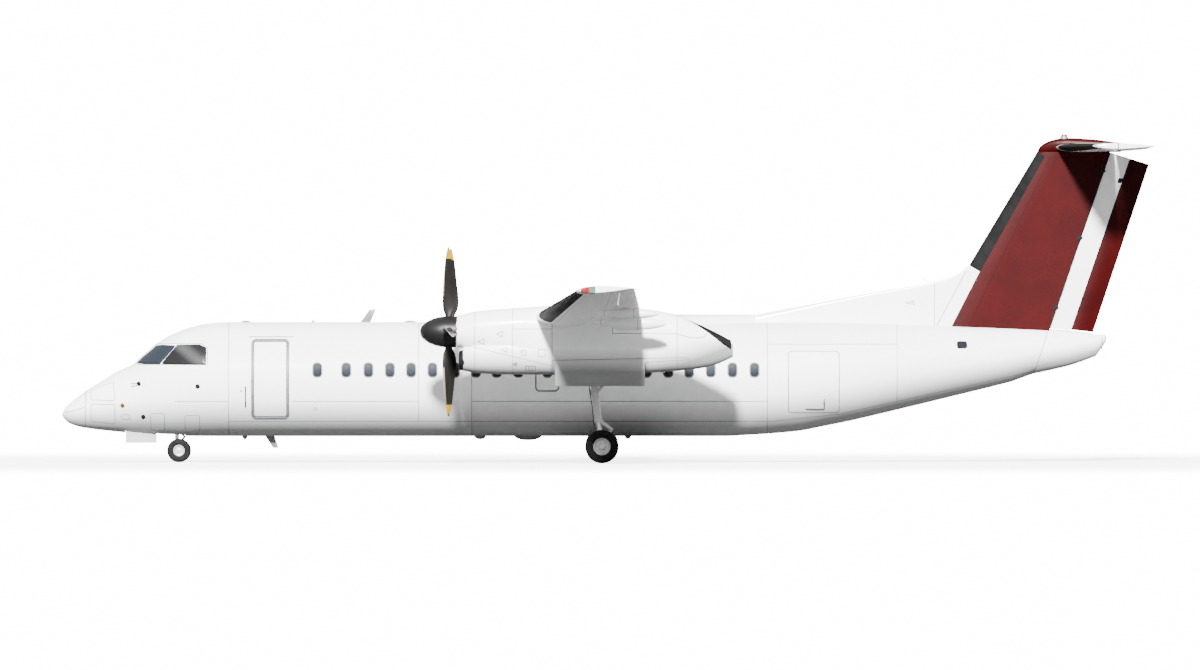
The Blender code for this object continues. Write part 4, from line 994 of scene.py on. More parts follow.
def nacelle(side, hand):
    y = PROP_Y * side
    groove = 0.004
    cowl_rings = []
    xs = spread(COWL_FRONT, COWL_JOINT - groove, 25)
    for x in (*xs[:-1], COWL_JOINT):
        _, _, middle, wide, high = station(COWL, x, y, -groove if x == COWL_JOINT else 0)
        square = 2.0 + 0.7 * min(1, (x - COWL_FRONT) / 1.5)
        cowl_rings.append([(x, y + a * wide, middle + b * high) for a, b in full_ring(96, square)])
    cowl = lofted(f"nacelle_cowl_{hand}_skin", cowl_rings)
    rows = [station(CHIN, x, y) for x in spread(-3.36, -1.29, 18)]
    cut_from(cowl, drawn("chin", full_ring(96, 2.7), rows), "UNION")
    # The chin intake: a mouth with a lip, and the shaft's opening behind the spinner
    mouth = mouth_ring("mouth", y, ((-3.6, 2.40, 0.275, 0.175), (-3.20, 2.41, 0.255, 0.165),
                                    (-3.05, 2.46, 0.20, 0.14)), cap=True)
    collar = rod("collar", (-3.7, y, PROP_Z), (-3.42, y, PROP_Z), 0.335, sides=64)
    cut_from(cowl, joined([mouth, collar], "openings"))
    round_edges(cowl, 0.012, 3, 50)
    done(cowl, cowl_white, replaces=f"nacelle_cowl_{hand}")
    lip = mouth_ring("lip", y, (
        (-3.400, 2.405, 0.262, 0.163), (-3.440, 2.403, 0.268, 0.170), (-3.462, 2.402, 0.288, 0.188),
        (-3.455, 2.402, 0.310, 0.212), (-3.420, 2.405, 0.328, 0.226), (-3.335, 2.412, 0.346, 0.243),
        (-3.330, 2.402, 0.262, 0.163)))
    done(lip, intake_black)
    duct = mouth_ring("duct", y, ((-3.42, 2.40, 0.264, 0.166), (-3.22, 2.41, 0.248, 0.158),
                                  (-3.07, 2.45, 0.195, 0.135)))
    duct.data.flip_normals()
    modify(duct, "SOLIDIFY", thickness=0.004, offset=0)
    done(duct, intake_black)
    xs = spread(COWL_JOINT, NACELLE_REAR, 38)
    rows = [station(NACELLE, COWL_JOINT, y, -groove)]
    rows += [station(NACELLE, x, y) for x in (xs[0] + groove, *xs[1:-1], xs[-1] - groove, xs[-1])]
    rear = drawn(f"nacelle_rear_{hand}_skin", full_ring(96, 2.7), rows)
    bay = block("bay", (BAY_FRONT, y - BAY_HALF, 1.9), (BAY_REAR, y + BAY_HALF, BAY_TOP))
    slit = block("slit", (BAY_FRONT - 0.02, y - 0.6, 1.9), (BAY_REAR + 0.02, y + 0.6, 2.405))
    pipe_rows = ((1.70, 3.22, 0.262, 0.222), (2.20, 3.04, 0.242, 0.182), (2.60, 2.88, 0.217, 0.150),
                 (2.90, 2.745, 0.190, 0.120))
    pipe = drawn(f"exhaust_{hand}_pipe", full_ring(64, 2.2), [
        (x, y, *curve_through(pipe_rows, x)) for x in spread(1.70, 2.90, 12)
    ])
    for cutter in (bay, slit, copy_of(pipe, "socket")):
        cut_from(rear, cutter)
    done(rear, [cowl_white, bay_green], replaces=f"nacelle_rear_{hand}")
    inside_finish(rear, (BAY_FRONT, y - BAY_HALF, 2.401), (BAY_REAR, y + BAY_HALF, BAY_TOP), 1)
    # The jet pipe is hollowed from its rear end
    pick(reopen(pipe), lambda c, n: c.x > 2.89 and n.x > 0.9)
    bpy.ops.mesh.inset(thickness=0.012)
    for step, grow in (((-0.10, 0, 0.04), 0.96), ((-0.30, 0, 0.13), 0.93)):
        bpy.ops.mesh.extrude_region_move(TRANSFORM_OT_translate={"value": step})
        bpy.ops.transform.resize(value=(1, grow, grow))
    close(pipe)
    done(pipe, soot_black, replaces=f"exhaust_{hand}")


for side, hand in SIDES:
    nacelle(side, hand)


# Wing

wing_white = surface("wing_white", WHITE, 0.27, vary=0.025, patch=0.5, grain=40,
                     relief=0.03, coat=0.4, grime=0.05)
boot_black = surface("boot_black", (0.0075, 0.0075, 0.0075), 0.6, vary=0.25, patch=3, grain=160,
                     relief=0.06, shine=0.015)
lens_red, lens_clear, lens_green = (
    surface("lens_" + label, colour, 0.08, vary=0.15, patch=12, grain=30, relief=0.02, coat=1.0)
    for label, colour in (("red", (0.22, 0.004, 0.005)), ("clear", (0.075, 0.13, 0.10)),
                          ("green", (0.004, 0.12, 0.04)))
)

# Spars and ribs in plan: the spars' ends, then the ribs between them
spars = (((-1.23, 1.45), (-1.23, 3.40)), ((-0.20, 1.45), (-0.20, 3.40)),
         ((-1.22, 4.60), (-0.47, 13.40)), ((-0.17, 4.60), (0.098, 13.40)))
ribs = [((-1.22 + 0.0852 * (y - 4.6), y), (-0.17 + 0.0305 * (y - 4.6), y))
        for y in (6.20, 7.90, 9.60, 11.40, 12.80)]
seam_lines(wing_white, (*spars, *ribs), width=0.012, depth=0.5, plan=True)

# The tip lamps: inner end, rear edge, joint and front edge
LAMP_Y, LAMP_REAR, LAMP_JOINT, LAMP_FRONT = 13.52, -0.27, -0.42, -0.60

centre_wing = wing_form("wing_center_skin", -KINK_Y, KINK_Y)
centre_whole = copy_of(centre_wing, "centre_whole")
for side, hand in SIDES:
    form = wing_form("wing_whole", side * KINK_Y, side * HALF_SPAN)
    skin = copy_of(form, f"wing_{hand}_skin")
    tail_bay(skin, side, FLAP_OUT)
    tail_bay(skin, side, AILERON)
    tail_bay(centre_wing, side, FLAP_IN)
    cut_from(skin, block("notch", (LAMP_FRONT, side * LAMP_Y, 3.8), (LAMP_REAR, side * 13.9, 4.3)))
    foil_done(skin, wing_white, f"wing_{hand}")
    for part, whole, span, gap, nose, body in (
        ("flap_outboard", form, FLAP_OUT, 0.006, 0.05, "airframe"),
        ("flap_inboard", centre_whole, FLAP_IN, 0.006, 0.06, "airframe"),
        ("aileron", form, AILERON, 0.022, 0.045, f"aileron_{hand}"),
    ):
        piece = tail_piece(f"{part}_{hand}_skin", whole, side, span, gap, nose)
        foil_done(piece, wing_white, f"{part}_{hand}", body)
    # De-icing boots on the leading edge, outboard and inboard of the nacelle
    for label, y_from, y_to in (("outer", 5.05, 13.30), ("inner", 1.62, 3.40)):
        boot = wing_form(f"wing_boot_{label}_{hand}", side * y_from, side * y_to, 0.003,
                         foil(24, stop=0.12), cap=False)
        done(modify(boot, "SOLIDIFY", thickness=0.006, offset=0), boot_black)
    for label, x_from, x_to, glass in (
        ("front", LAMP_FRONT, LAMP_JOINT, lens_red if side < 0 else lens_green),
        ("rear", LAMP_JOINT + 0.005, LAMP_REAR, lens_clear),
    ):
        lens = sliced(copy_of(form, f"tip_lens_{label}_{hand}"), [
            ((x_from, 0, 0), (1, 0, 0)), ((x_to, 0, 0), (-1, 0, 0)),
            ((0, side * LAMP_Y, 0), (0, side, 0)),
        ])
        done(lens, glass, angle=40)
    bpy.data.objects.remove(form)
bpy.data.objects.remove(centre_whole)
foil_done(centre_wing, wing_white, "wing_center")


# Tail

# The fin's front edge, low and high, then lines down its rear and the rudders, as (x, z) points
FIN_FOOT, FIN_BEND, FIN_TOP = (7.79, 3.227), (8.55, 4.662), (10.14, 7.312)
HINGE = ((10.439, 3.171), (11.869, 7.310))
SPLIT = ((10.938, 3.117), (12.325, 7.159))
REAR = ((11.439, 3.039), (12.768, 7.013))
NOSE_REACH = 0.127
PLANE_Z, PLANE_HALF, PLANE_REAR, ELEVATOR_X = 7.415, 3.96, 12.82, 11.967
# The tailplane's front edge at its middle, the edge's run back, and the length of its round tips
PLANE_FRONT, PLANE_SWEEP, PLANE_TIP = 10.55, 0.88, 0.05


def on_line(line, z):
    (x1, z1), (x2, z2) = line
    return x1 + (z - z1) / (z2 - z1) * (x2 - x1)


def fin_half(z):
    """The fin's half width at a height."""
    return 0.175 - 0.075 * (z - 3.0) / 4.3


def fore_half(z):
    """The fore rudder's half width at a height, just inside its skin."""
    return 0.114 - 0.030 * (z - 3.165) / 4.1


def both_sides(half):
    """A whole section from its right half, drawn front to rear."""
    return half + [(t, -w) for t, w in half[:0:-1]]


def fin_ring(stop=1.0, count=18):
    """The fin's level section: its nose, then straight sides. The rear is open or flat."""
    rows = []
    for i in range(count):
        t = 0.35 * (i / (count - 1)) ** 2
        rows.append((t, math.sqrt(t / 0.35) * (1.5 - 0.5 * t / 0.35)))
    rows = [row for row in rows if row[0] <= stop] + ([(1.0, 1.0)] if stop >= 1 else [])
    return both_sides(rows)


def fin_skin(name, heights, grow=0.0, stop=1.0, cap=True):
    """The fin's shape through some heights, whole or only up to a share of its chord."""
    rows = []
    for z in heights:
        edge = (FIN_FOOT, FIN_BEND) if z < FIN_BEND[1] else (FIN_BEND, FIN_TOP)
        front = on_line(edge, z) - grow
        rear = on_line(HINGE, z) - NOSE_REACH - 0.012
        rows.append((front, 0, z, rear - front, fin_half(z) + grow))
    return drawn(name, fin_ring(stop), rows, cap, "Z")


fin_paint = surface("fin_paint", (0.027, 0.0007, 0.0009), 0.34, vary=0.15, patch=1.1, grain=45,
                    relief=0.02, grime=0.2, shine=0.07)
seam_lines(fin_paint, (((8.52, 3.217), (10.447, 7.18)), ((10.447, 7.18), (11.72, 7.18))), 0.010,
           0.7, (0.006, 0.0004, 0.0004))
# The fin's foot is white ahead of a slanting line, up to the boot
tree = fin_paint.node_tree
_, length, _, height = place_of(tree)
(edge_x, edge_z), edge_slope = (8.122, 3.222), 0.651 / 1.265
edge = sum_up(tree, "MULTIPLY_ADD", height, edge_slope, edge_x - edge_slope * edge_z)
ahead = sum_up(tree, "SUBTRACT", edge, length)
below = ramp(tree, height, FIN_BEND[1] + 0.003, FIN_BEND[1] + 0.013, 1.0, 0.0)
overpaint(fin_paint, sum_up(tree, "MULTIPLY", ramp(tree, ahead, -0.003, 0.003), below), WHITE)
rudder_paint = surface("rudder_paint", (0.023, 0.0007, 0.0009), 0.36, vary=0.2, patch=1.1,
                       grain=45, relief=0.02, grime=0.2, shine=0.07)
tail_white = surface("tail_white", WHITE, 0.26, vary=0.02, patch=0.7, grain=38,
                     relief=0.03, coat=0.4, grime=0.04)
seam_lines(tail_white, (((7.715, 3.2), (7.715, 4.30)), ((11.54, 7.3), (11.54, 7.6))), 0.013, 0.8,
           (0.06, 0.061, 0.063))
plane_seams = (((11.45, 0.30), (11.80, 3.80)), ((10.98, 1.35), (11.95, 1.35)),
               ((11.24, 2.60), (11.95, 2.60)))
seam_lines(tail_white, plane_seams, 0.010, 0.45, plan=True)
front_line = (((7.774, 3.225), (8.455, 4.50)),)
for paint in (tail_white, fin_paint):
    seam_lines(paint, front_line, 0.014, 0.9, FIN_JOINT)
seam_lines(tail_white, loop_lines((7.04, 3.748), (7.235, 3.797), (7.235, 3.70)), 0.018, 0.7)
seam_lines(tail_white, loop_lines((7.12, 3.748), (7.215, 3.77), (7.215, 3.727)), 0.030, 0.45)

bends = [z for _, z in (FIN_FOOT, FIN_BEND, FIN_TOP)]
done(fin_skin("fin_skin", (2.95, *bends)), fin_paint, replaces="fin")
boot = fin_skin("fin_boot", (4.30, *bends[1:]), 0.003, 0.15, cap=False)
modify(boot, "SOLIDIFY", thickness=0.006, offset=0)
boot_run = Vector((0.5145, 0, 0.8575))
sliced(boot, [((8.54, 0, 4.638), boot_run), ((10.14, 0, 7.31), -boot_run)])
done(boot, boot_black)


def rear_lips(name, line, back, heights, half_at, wide):
    """Two strips that carry the sides of a surface on over a rudder's round nose."""
    strips = []
    for way in (-1, 1):
        ring = [(0, way), (1, way), (1, way * 0.94), (0, way * 0.94)]
        rows = [(on_line(line, z) - back, 0, z, wide, half_at(z)) for z in heights]
        strips.append(drawn("lip", ring, rows, True, "Z"))
    return joined(strips, name)


done(rear_lips("rudder_shroud", HINGE, NOSE_REACH + 0.012, (3.02, FIN_TOP[1]), fin_half, 0.113),
     fin_paint)
# Painted shade: a dark strip at the shroud's rear edge stands for the shadow in the gap before the
# rudder.
done(rear_lips("rudder_shroud_gap_shade", HINGE, 0.027, (3.05, 7.30),
               lambda z: fin_half(z) - 0.001, 0.026), dark_gap)

# Dorsal fin: x, top z, half width at the top and at the foot
DORSAL = (
    (3.52, 3.479, 0.12, 0.20), (5.90, 3.930, 0.05, 0.17), (8.17, 4.372, 0.03, 0.16),
    (8.53, 4.640, 0.02, 0.15),
)
rings = []
for x in spread(3.52, 8.53, 24):
    top, thin, wide = curve_through(DORSAL, x)
    side_line = [(thin + (wide - thin) * t, top - thin - (top - thin - 2.9) * t)
                 for t in (0.0, 0.15, 0.35, 0.6, 0.8, 1.0)]
    arc = [(thin * math.sin(a), top - thin + thin * math.cos(a))
           for a in (math.pi / 2 * k / 6 for k in range(6))]
    half = arc + side_line
    rings.append([(x, w, z) for w, z in half] + [(x, -w, z) for w, z in half[:0:-1]])
done(lofted("dorsal_fin_skin", rings), tail_white, replaces="dorsal_fin")


def rudder_ring(blunt, square):
    """A rudder's level section: a round nose of a given share, then sides to the rear edge."""
    rows = [(blunt * (1 - math.cos(a)), math.sin(a)) for a in
            (math.pi / 2 * k / 8 for k in range(9))]
    if square:
        rows.append((1.0, 1.0))
    else:
        rows += [(t, 1 - 0.94 * (t - 0.35) / 0.65) for t in (0.35, 0.6, 0.85, 0.97, 1.0)]
    return both_sides(rows)


RUDDER_TOP = ((11.90, 0, 7.285), (-0.295, 0, -0.955))
for part, ring, front, ahead, rear, short, halves, foot, paint, slot in (
    ("rudder_fore", rudder_ring(0.27, True), HINGE, NOSE_REACH, SPLIT, 0.045,
     ((3.05, 0.115), (5.2, 0.10), (7.29, 0.085)), ((10.94, 0, 3.116), (0.066, 0, 1)),
     tail_white, "white_paint"),
    ("rudder_trailing", rudder_ring(0.10, False), SPLIT, 0.030, REAR, 0,
     ((3.0, 0.075), (5.2, 0.065), (7.20, 0.055)), ((10.93, 0, 3.122), (0.105, 0, 1)),
     rudder_paint, "dark_red_paint"),
):
    rows = []
    for z, half in halves:
        start = on_line(front, z) - ahead
        rows.append((start, 0, z, on_line(rear, z) - short - start, half))
    skin = sliced(drawn(part + "_skin", ring, rows, True, "Z"), [RUDDER_TOP, foot])
    done(skin, paint, body=part, replaces=part)
done(rear_lips("rudder_fore_lips", SPLIT, 0.046, (3.135, 7.15), fore_half, 0.036), tail_white,
     body="rudder_fore")
# Painted shade: a dark sheet fills the gap under the fore rudder's foot, where the gap would lie in
# shade.
done(slab("rudder_foot_gap_shade", [(10.45, 3.09), (10.93, 3.05), (10.93, 3.103), (10.45, 3.135)], "Y",
          -0.06, 0.06, 0.002, 1), dark_gap)

# Hinge brackets: a small plate and a pin on each side
BRACKET = ((-0.085, -0.045), (-0.010, -0.062), (0.030, -0.018), (0.075, 0.020), (0.040, 0.050),
           (-0.052, 0.056))
for line, body, marks, back, half_at in (
    (HINGE, "airframe", (3.635, 5.27, 6.84), 0.030, lambda z: fin_half(z) + 0.014),
    (SPLIT, "rudder_fore", (6.634,), 0.040, lambda z: 0.100),
):
    plates = []
    for z in marks:
        x, y = on_line(line, z) - back, half_at(z)
        for way in (-1, 1):
            near, far = way * (y - 0.011), way * y
            outline = [(x + a, z + b) for a, b in BRACKET]
            plates.append(slab("plate", outline, "Y", near, far, 0.003, 2))
            plates.append(rod("pin", (x - 0.01, near * 1.02, z), (x - 0.01, far * 1.02, z), 0.016))
    done(joined(plates, f"rudder_brackets_{body}"), dark_gap, body=body)

lens_white = surface("lens_white", (0.42, 0.43, 0.43), 0.1, vary=0.1, patch=12, grain=30,
                     relief=0.02, coat=0.8)
rows = [(x, 0, 2.905, wide, high) for x, wide, high in
        ((11.700, 0.072, 0.100), (11.735, 0.068, 0.095), (11.752, 0.050, 0.072),
         (11.760, 0.020, 0.030))]
done(drawn("tail_lamp", circle_ring(40), rows), lens_white)
x, _, middle, wide, high = station(HULL, 11.66)
rim = [(x, wide * a * 1.02, middle + high * b * 1.005) for a, b in circle_ring(48)]
done(wire("tail_lamp_rim", rim, 0.009, 2, closed=True), seal_grey)
done(wire("dorsal_wire_aerial", [(7.56, 0, 4.23), (7.535, 0, 4.262), (7.42, 0, 4.335)], 0.008, 2),
     fitting_white)


def plane_form(name, y_from, y_to, grow=0.0, ring=None, cap=True):
    """The tailplane's shape between two distances from the centre, or whole with its tips."""
    rows = []
    ys = [y_from, y_to]
    if y_from == -y_to:
        ends = [y_to - PLANE_TIP * (1 - t) for t in (0.0, 0.35, 0.7, 0.9, 1.0)]
        ys = [-e for e in ends[::-1]] + [0.0] + ends
    for y in ys:
        front = PLANE_FRONT + abs(y) * PLANE_SWEEP / PLANE_HALF
        out = max(0.0, (abs(y) - PLANE_HALF + PLANE_TIP) / PLANE_TIP)
        shrink = 0.92 + 0.08 * math.sqrt(max(0.0, 1 - out**2))
        chord = (PLANE_REAR - front) * shrink + 2 * grow
        middle = (front + PLANE_REAR) / 2
        rows.append((middle - chord / 2, y, PLANE_Z, chord, chord))
    return drawn(name, ring or foil(thick=0.095, camber=0.0), rows, cap, "Y")


whole_plane = plane_form("tailplane_skin", -PLANE_HALF, PLANE_HALF)
for side, hand in SIDES:
    elevator = sliced(copy_of(whole_plane, f"elevator_{hand}_skin"), [
        ((ELEVATOR_X, 0, 0), (1, 0, 0)), ((0, side * 0.175, 0), (0, side, 0)),
        ((0, side * 3.93, 0), (0, -side, 0)),
    ])
    pick(reopen(elevator), lambda c, d: abs(c.x - ELEVATOR_X) < 0.001 and abs(d.y) > 0.5, "EDGE")
    bpy.ops.mesh.bevel(offset=0.055, segments=6, affect="EDGES")
    close(elevator)
    foil_done(elevator, tail_white, f"elevator_{hand}", f"elevator_{hand}")
for side, hand in SIDES:
    bay = block("bay", (ELEVATOR_X - 0.033, side * 0.16, 7.0), (13.2, side * 4.2, 7.8))
    cut_from(whole_plane, bay)
    boot = plane_form(f"tailplane_boot_{hand}", side * 0.30, side * 3.62, 0.002,
                      foil(24, 0.095, 0.0, 0.15), cap=False)
    done(modify(boot, "SOLIDIFY", thickness=0.005, offset=0), boot_black)
foil_done(whole_plane, tail_white, "tailplane")

# The fin's cap, which closes over the tailplane: x, top z, half width
FIN_CAP = ((10.142, 7.335, 0.012), (10.18, 7.410, 0.035), (10.26, 7.485, 0.062),
           (10.42, 7.570, 0.098), (10.62, 7.622, 0.130), (10.85, 7.640, 0.150),
           (11.50, 7.605, 0.140), (12.10, 7.520, 0.085))
CAP_FOOT, CAP_LENGTH, BEACON_X = 7.305, 1.958, 10.77


def cover_rows(table, xs, foot):
    """Rings of a cover that stands on a level foot, through a table of tops and half widths."""
    rows = []
    for x in xs:
        top, half = curve_through(table, x)
        rows.append((x, 0, (top + foot) / 2, half, (top - foot) / 2))
    return rows


xs = [FIN_CAP[0][0] + CAP_LENGTH * (i / 40) ** 1.6 for i in range(41)]
done(drawn("fin_cap", full_ring(64, 2.6), cover_rows(FIN_CAP, xs, CAP_FOOT)), rudder_paint)
done(rod("beacon_base", (BEACON_X, 0, 7.60), (BEACON_X, 0, 7.668), 0.095, edge=0.008), bare_metal)
rows = [(BEACON_X, 0, z, r, r) for z, r in
        ((7.66, 0.078), (7.69, 0.077), (7.712, 0.066), (7.726, 0.036), (7.7295, 0.01))]
done(drawn("beacon_lens", circle_ring(32), rows, True, "Z"), lens_red)


# Propellers

blade_black = surface("blade_black", (0.0085, 0.0078, 0.0072), 0.42, vary=0.18, patch=3, grain=90,
                      relief=0.06, grime=0.2, shine=0.15)
tree = blade_black.node_tree
_, _, breadth, height = place_of(tree)
across = sum_up(tree, "SUBTRACT", sum_up(tree, "ABSOLUTE", breadth), PROP_Y)
up = sum_up(tree, "SUBTRACT", height, PROP_Z)
squared = sum_up(tree, "MULTIPLY_ADD", across, across, sum_up(tree, "MULTIPLY", up, up))
from_shaft = sum_up(tree, "SQRT", squared)
in_tip = sum_up(tree, "MULTIPLY", ramp(tree, from_shaft, 1.705, 1.71),
                ramp(tree, from_shaft, 1.925, 1.93, 1.0, 0.0))
overpaint(blade_black, in_tip, (0.33, 0.20, 0.006))
strip_cream = surface("strip_cream", (0.150, 0.132, 0.085), 0.4, vary=0.08, patch=4, grain=120)
spinner_black = surface("spinner_black", (0.0055, 0.0053, 0.0053), 0.4, vary=0.15, patch=4,
                        grain=70, relief=0.03, shine=0.22)
# Blade sections: radius, chord, thickness, twist, share of the chord ahead of the axis
BLADE = (
    (0.25, 0.160, 0.130, 80, 0.50), (0.38, 0.170, 0.110, 78, 0.50), (0.52, 0.290, 0.070, 75, 0.46),
    (0.65, 0.335, 0.056, 71, 0.45), (0.80, 0.345, 0.048, 67, 0.45), (1.20, 0.340, 0.036, 48, 0.48),
    (1.55, 0.300, 0.027, 39, 0.50), (1.75, 0.235, 0.021, 35, 0.52), (1.88, 0.150, 0.016, 33, 0.56),
    (1.945, 0.090, 0.012, 32, 0.60), (1.977, 0.030, 0.007, 31, 0.66),
)
BLADE_RING, BLADE_ROOT, BLADE_RUN = 36, 0.25, 1.727
# The spinner's tip, joint and rear end along the shaft, and its radius
SPINNER_TIP, SPINNER_JOINT, SPINNER_REAR, SPINNER_HALF = -4.372, -3.803, -3.526, 0.362


def blade_section(radius, chord, thick, twist, ahead, turn_into=0.0):
    """A section of rounded nose and thin tail. Near the root it turns into an ellipse."""
    ring = []
    for i in range(BLADE_RING):
        angle = math.tau * i / BLADE_RING
        t = 0.5 * (1 + math.cos(angle))
        body = math.sin(angle)
        wing = math.copysign(1.9 * math.sqrt(1 - t) * t ** 0.75, body) if 0 < t < 1 else 0.0
        through = thick / 2 * (body * turn_into + wing * (1 - turn_into))
        chordwise = (ahead - 1 + t) * chord
        lean = math.radians(twist)
        ring.append((PROP_X - chordwise * math.sin(lean) + through * math.cos(lean),
                     chordwise * math.cos(lean) + through * math.sin(lean), radius))
    return ring


radii = [BLADE_ROOT + BLADE_RUN * (i / 44) ** 0.94 for i in range(45)]
rings = [blade_section(r, *curve_through(BLADE, r), max(0.0, min(1.0, (0.60 - r) / 0.22)))
         for r in radii]
blade = lofted("blade", rings)
# The strip lies on the leading edge, four points each way
leads = [ring[-4:] + ring[:5] for ring, r in zip(rings, radii) if 0.80 < r < 1.72]
strip = lofted("strip", leads, caps=False, closed=False)
modify(strip, "SOLIDIFY", thickness=0.0024, offset=0)

# The spinner's dome, with an oval hollow around each blade
rows = []
for i in range(30):
    share = (i / 29) ** 1.6
    half = max(0.004, SPINNER_HALF * math.sqrt(1 - (1 - share) ** 1.75))
    rows.append((SPINNER_TIP + share * 0.60, 0, 0, half, half))
rows.append((SPINNER_REAR, 0, 0, SPINNER_HALF + 0.002, SPINNER_HALF + 0.002))
dome = drawn("dome", circle_ring(96), rows)
hub, lean = Matrix.Translation((PROP_X, 0, 0)), Matrix.Rotation(math.radians(-28), 4, "Z")
hollows = []
for k in range(4):
    rows = [(PROP_X, 0, 0.28, 0.085, 0.105), (PROP_X, 0, 0.45, 0.095, 0.115)]
    hollow = drawn("hollow", circle_ring(40), rows, True, "Z")
    quarter = Matrix.Rotation(math.pi / 2 * k, 4, "X")
    hollow.data.transform(hub @ quarter @ lean @ hub.inverted())
    hollows.append(hollow)
cut_from(dome, joined(hollows, "hollows"))
ring = [(SPINNER_JOINT, 0.3605 * a, 0.3605 * b) for a, b in circle_ring(96)]
groove = wire("spinner_groove", ring, 0.0025, 1, closed=True)
cuff = drawn("cuff", circle_ring(40), [
    (PROP_X, 0, r, half, half + 0.014)
    for r, half in ((0.27, 0.072), (0.335, 0.072), (0.345, 0.080), (0.358, 0.080))
], True, "Z")
for side, hand in SIDES:
    centre = Matrix.Translation((0, side * PROP_Y, PROP_Z))
    body = f"propeller_{hand}"
    done(copy_of(dome, f"spinner_{hand}_dome", centre), spinner_black, body=body,
         replaces=f"spinner_{hand}")
    done(copy_of(groove, f"spinner_{hand}_groove", centre), dark_gap, body=body)
    cuffs = []
    for k in range(4):
        place = centre @ Matrix.Rotation(math.pi / 2 * k, 4, "X")
        done(copy_of(blade, f"blade_{hand}_{k + 1}", place), blade_black, body=body,
             replaces=body)
        done(copy_of(strip, f"blade_strip_{hand}_{k + 1}", place), strip_cream, body=body)
        cuffs.append(copy_of(cuff, "cuff", place))
    done(joined(cuffs, f"blade_cuffs_{hand}"), spinner_black, body=body)
    ends = [(x, side * PROP_Y, PROP_Z) for x in (-3.54, -2.96)]
    done(rod(f"propeller_shaft_{hand}", *ends, 0.095, edge=0.004), bare_metal, body=body)
for spare in (dome, groove, cuff, blade, strip):
    bpy.data.objects.remove(spare)


# Wing fairing, flap track fairings and engines

# Fairing over the hull: x, top z, half width
FAIRING = (
    (-2.75, 3.20, 0.30), (-2.30, 3.45, 0.72), (-1.60, 3.66, 0.95), (-0.60, 3.70, 1.02),
    (0.40, 3.62, 0.98), (1.10, 3.50, 0.80), (2.10, 3.48, 0.42), (3.50, 3.479, 0.20),
)
FAIRING_FOOT = 2.75
rows = cover_rows(FAIRING, spread(-2.75, 3.50, 50), FAIRING_FOOT)
done(drawn("wing_fairing", full_ring(96, 2.6), rows), wing_white)

# Flap tracks: y, front x, rear x, drop, then shares of length, top, foot and width
FLAP_TRACKS = ((5.30, -0.36, 1.36, 0.36), (8.00, -0.32, 1.19, 0.27))
TRACK_SHAPE = (
    (0.00, 0.265, 0.30, 0.06), (0.06, 0.22, 0.50, 0.42), (0.15, 0.15, 0.72, 0.72),
    (0.45, 0.13, 1.00, 1.00), (0.75, 0.20, 0.96, 0.96), (0.93, 0.42, 0.82, 0.62),
    (0.985, 0.54, 0.71, 0.30), (1.00, 0.60, 0.66, 0.08),
)
TRACK_HALF = 0.11
for side, hand in SIDES:
    for number, (y, front, rear, drop) in enumerate(FLAP_TRACKS, 1):
        level = wing_row(y)[1]
        rows = []
        for i in range(49):
            share = 0.5 * (1 - math.cos(math.pi * i / 48))
            top, foot, wide = curve_through(TRACK_SHAPE, share)
            rows.append((front + share * (rear - front), side * y, level - (top + foot) / 2 * drop,
                         TRACK_HALF * wide, (foot - top) / 2 * drop))
        done(drawn(f"flap_track_{hand}_{number}", circle_ring(48), rows), wing_white)
        joint = [(front + 0.62 * (rear - front), side * y + a * (TRACK_HALF + 0.0015),
                  level - (0.16 + 0.99) / 2 * drop + b * 0.422 * drop) for a, b in circle_ring(48)]
        done(wire(f"flap_track_{hand}_{number}_joint", joint, 0.0035, 1, closed=True), seal_grey)

engine_casing = surface("engine_casing", (0.30, 0.29, 0.27), 0.4, vary=0.2, patch=4, grain=80,
                        relief=0.2, metal=0.7, grime=0.3)
for _, hand in SIDES:
    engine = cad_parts[f"engine_{hand}"]
    engine.data.materials.clear()
    engine.data.materials.append(engine_casing)


# Landing gear

gear_grey = surface("gear_grey", (0.46, 0.47, 0.475), 0.34, vary=0.05, patch=4, grain=110,
                    relief=0.05, grime=0.25, coat=0.1)
chrome = surface("chrome", (0.72, 0.73, 0.74), 0.1, vary=0.04, patch=6, grain=140, relief=0.02,
                 metal=1.0)
tyre_black = surface("tyre_black", (0.0075, 0.0075, 0.0078), 0.75, vary=0.25, patch=7, grain=260,
                     relief=0.25, grime=0.12, shine=0.08)
hub_paint = surface("hub_paint", (0.50, 0.51, 0.515), 0.3, vary=0.06, patch=8, grain=150,
                    relief=0.05, metal=0.25, grime=0.35)
hose_black = surface("hose_black", (0.011, 0.011, 0.012), 0.5, vary=0.2, patch=12, grain=300)
brake_steel = surface("brake_steel", (0.12, 0.115, 0.11), 0.5, vary=0.25, patch=9, grain=200,
                      relief=0.3, metal=0.7, grime=0.4)


def tyre(name, centre, radius, rim, width):
    """A tyre with rounded shoulders and three grooves, as one closed ring."""
    half, wall = width / 2, radius - rim
    side_rows = (
        (0.62, 0.003), (0.80, 0.06), (0.93, 0.16), (0.985, 0.30), (1.0, 0.45), (0.985, 0.60),
        (0.93, 0.76), (0.83, 0.89), (0.68, 0.965), (0.52, 0.992),
    )
    rows = [(-a * half, rim + b * wall) for a, b in side_rows]
    deep = radius - 0.05 * wall
    for groove in (-0.34, 0.0, 0.34):
        rows += [((groove - 0.045) * half, radius), ((groove - 0.035) * half, deep),
                 ((groove + 0.035) * half, deep), ((groove + 0.045) * half, radius)]
    rows += [(-a, r) for a, r in rows[len(side_rows) - 1::-1]]
    rows += rows[:1]
    x, y, z = centre
    return drawn(name, circle_ring(96), [(x, y + a, z, r, r) for a, r in rows], False, "Y")


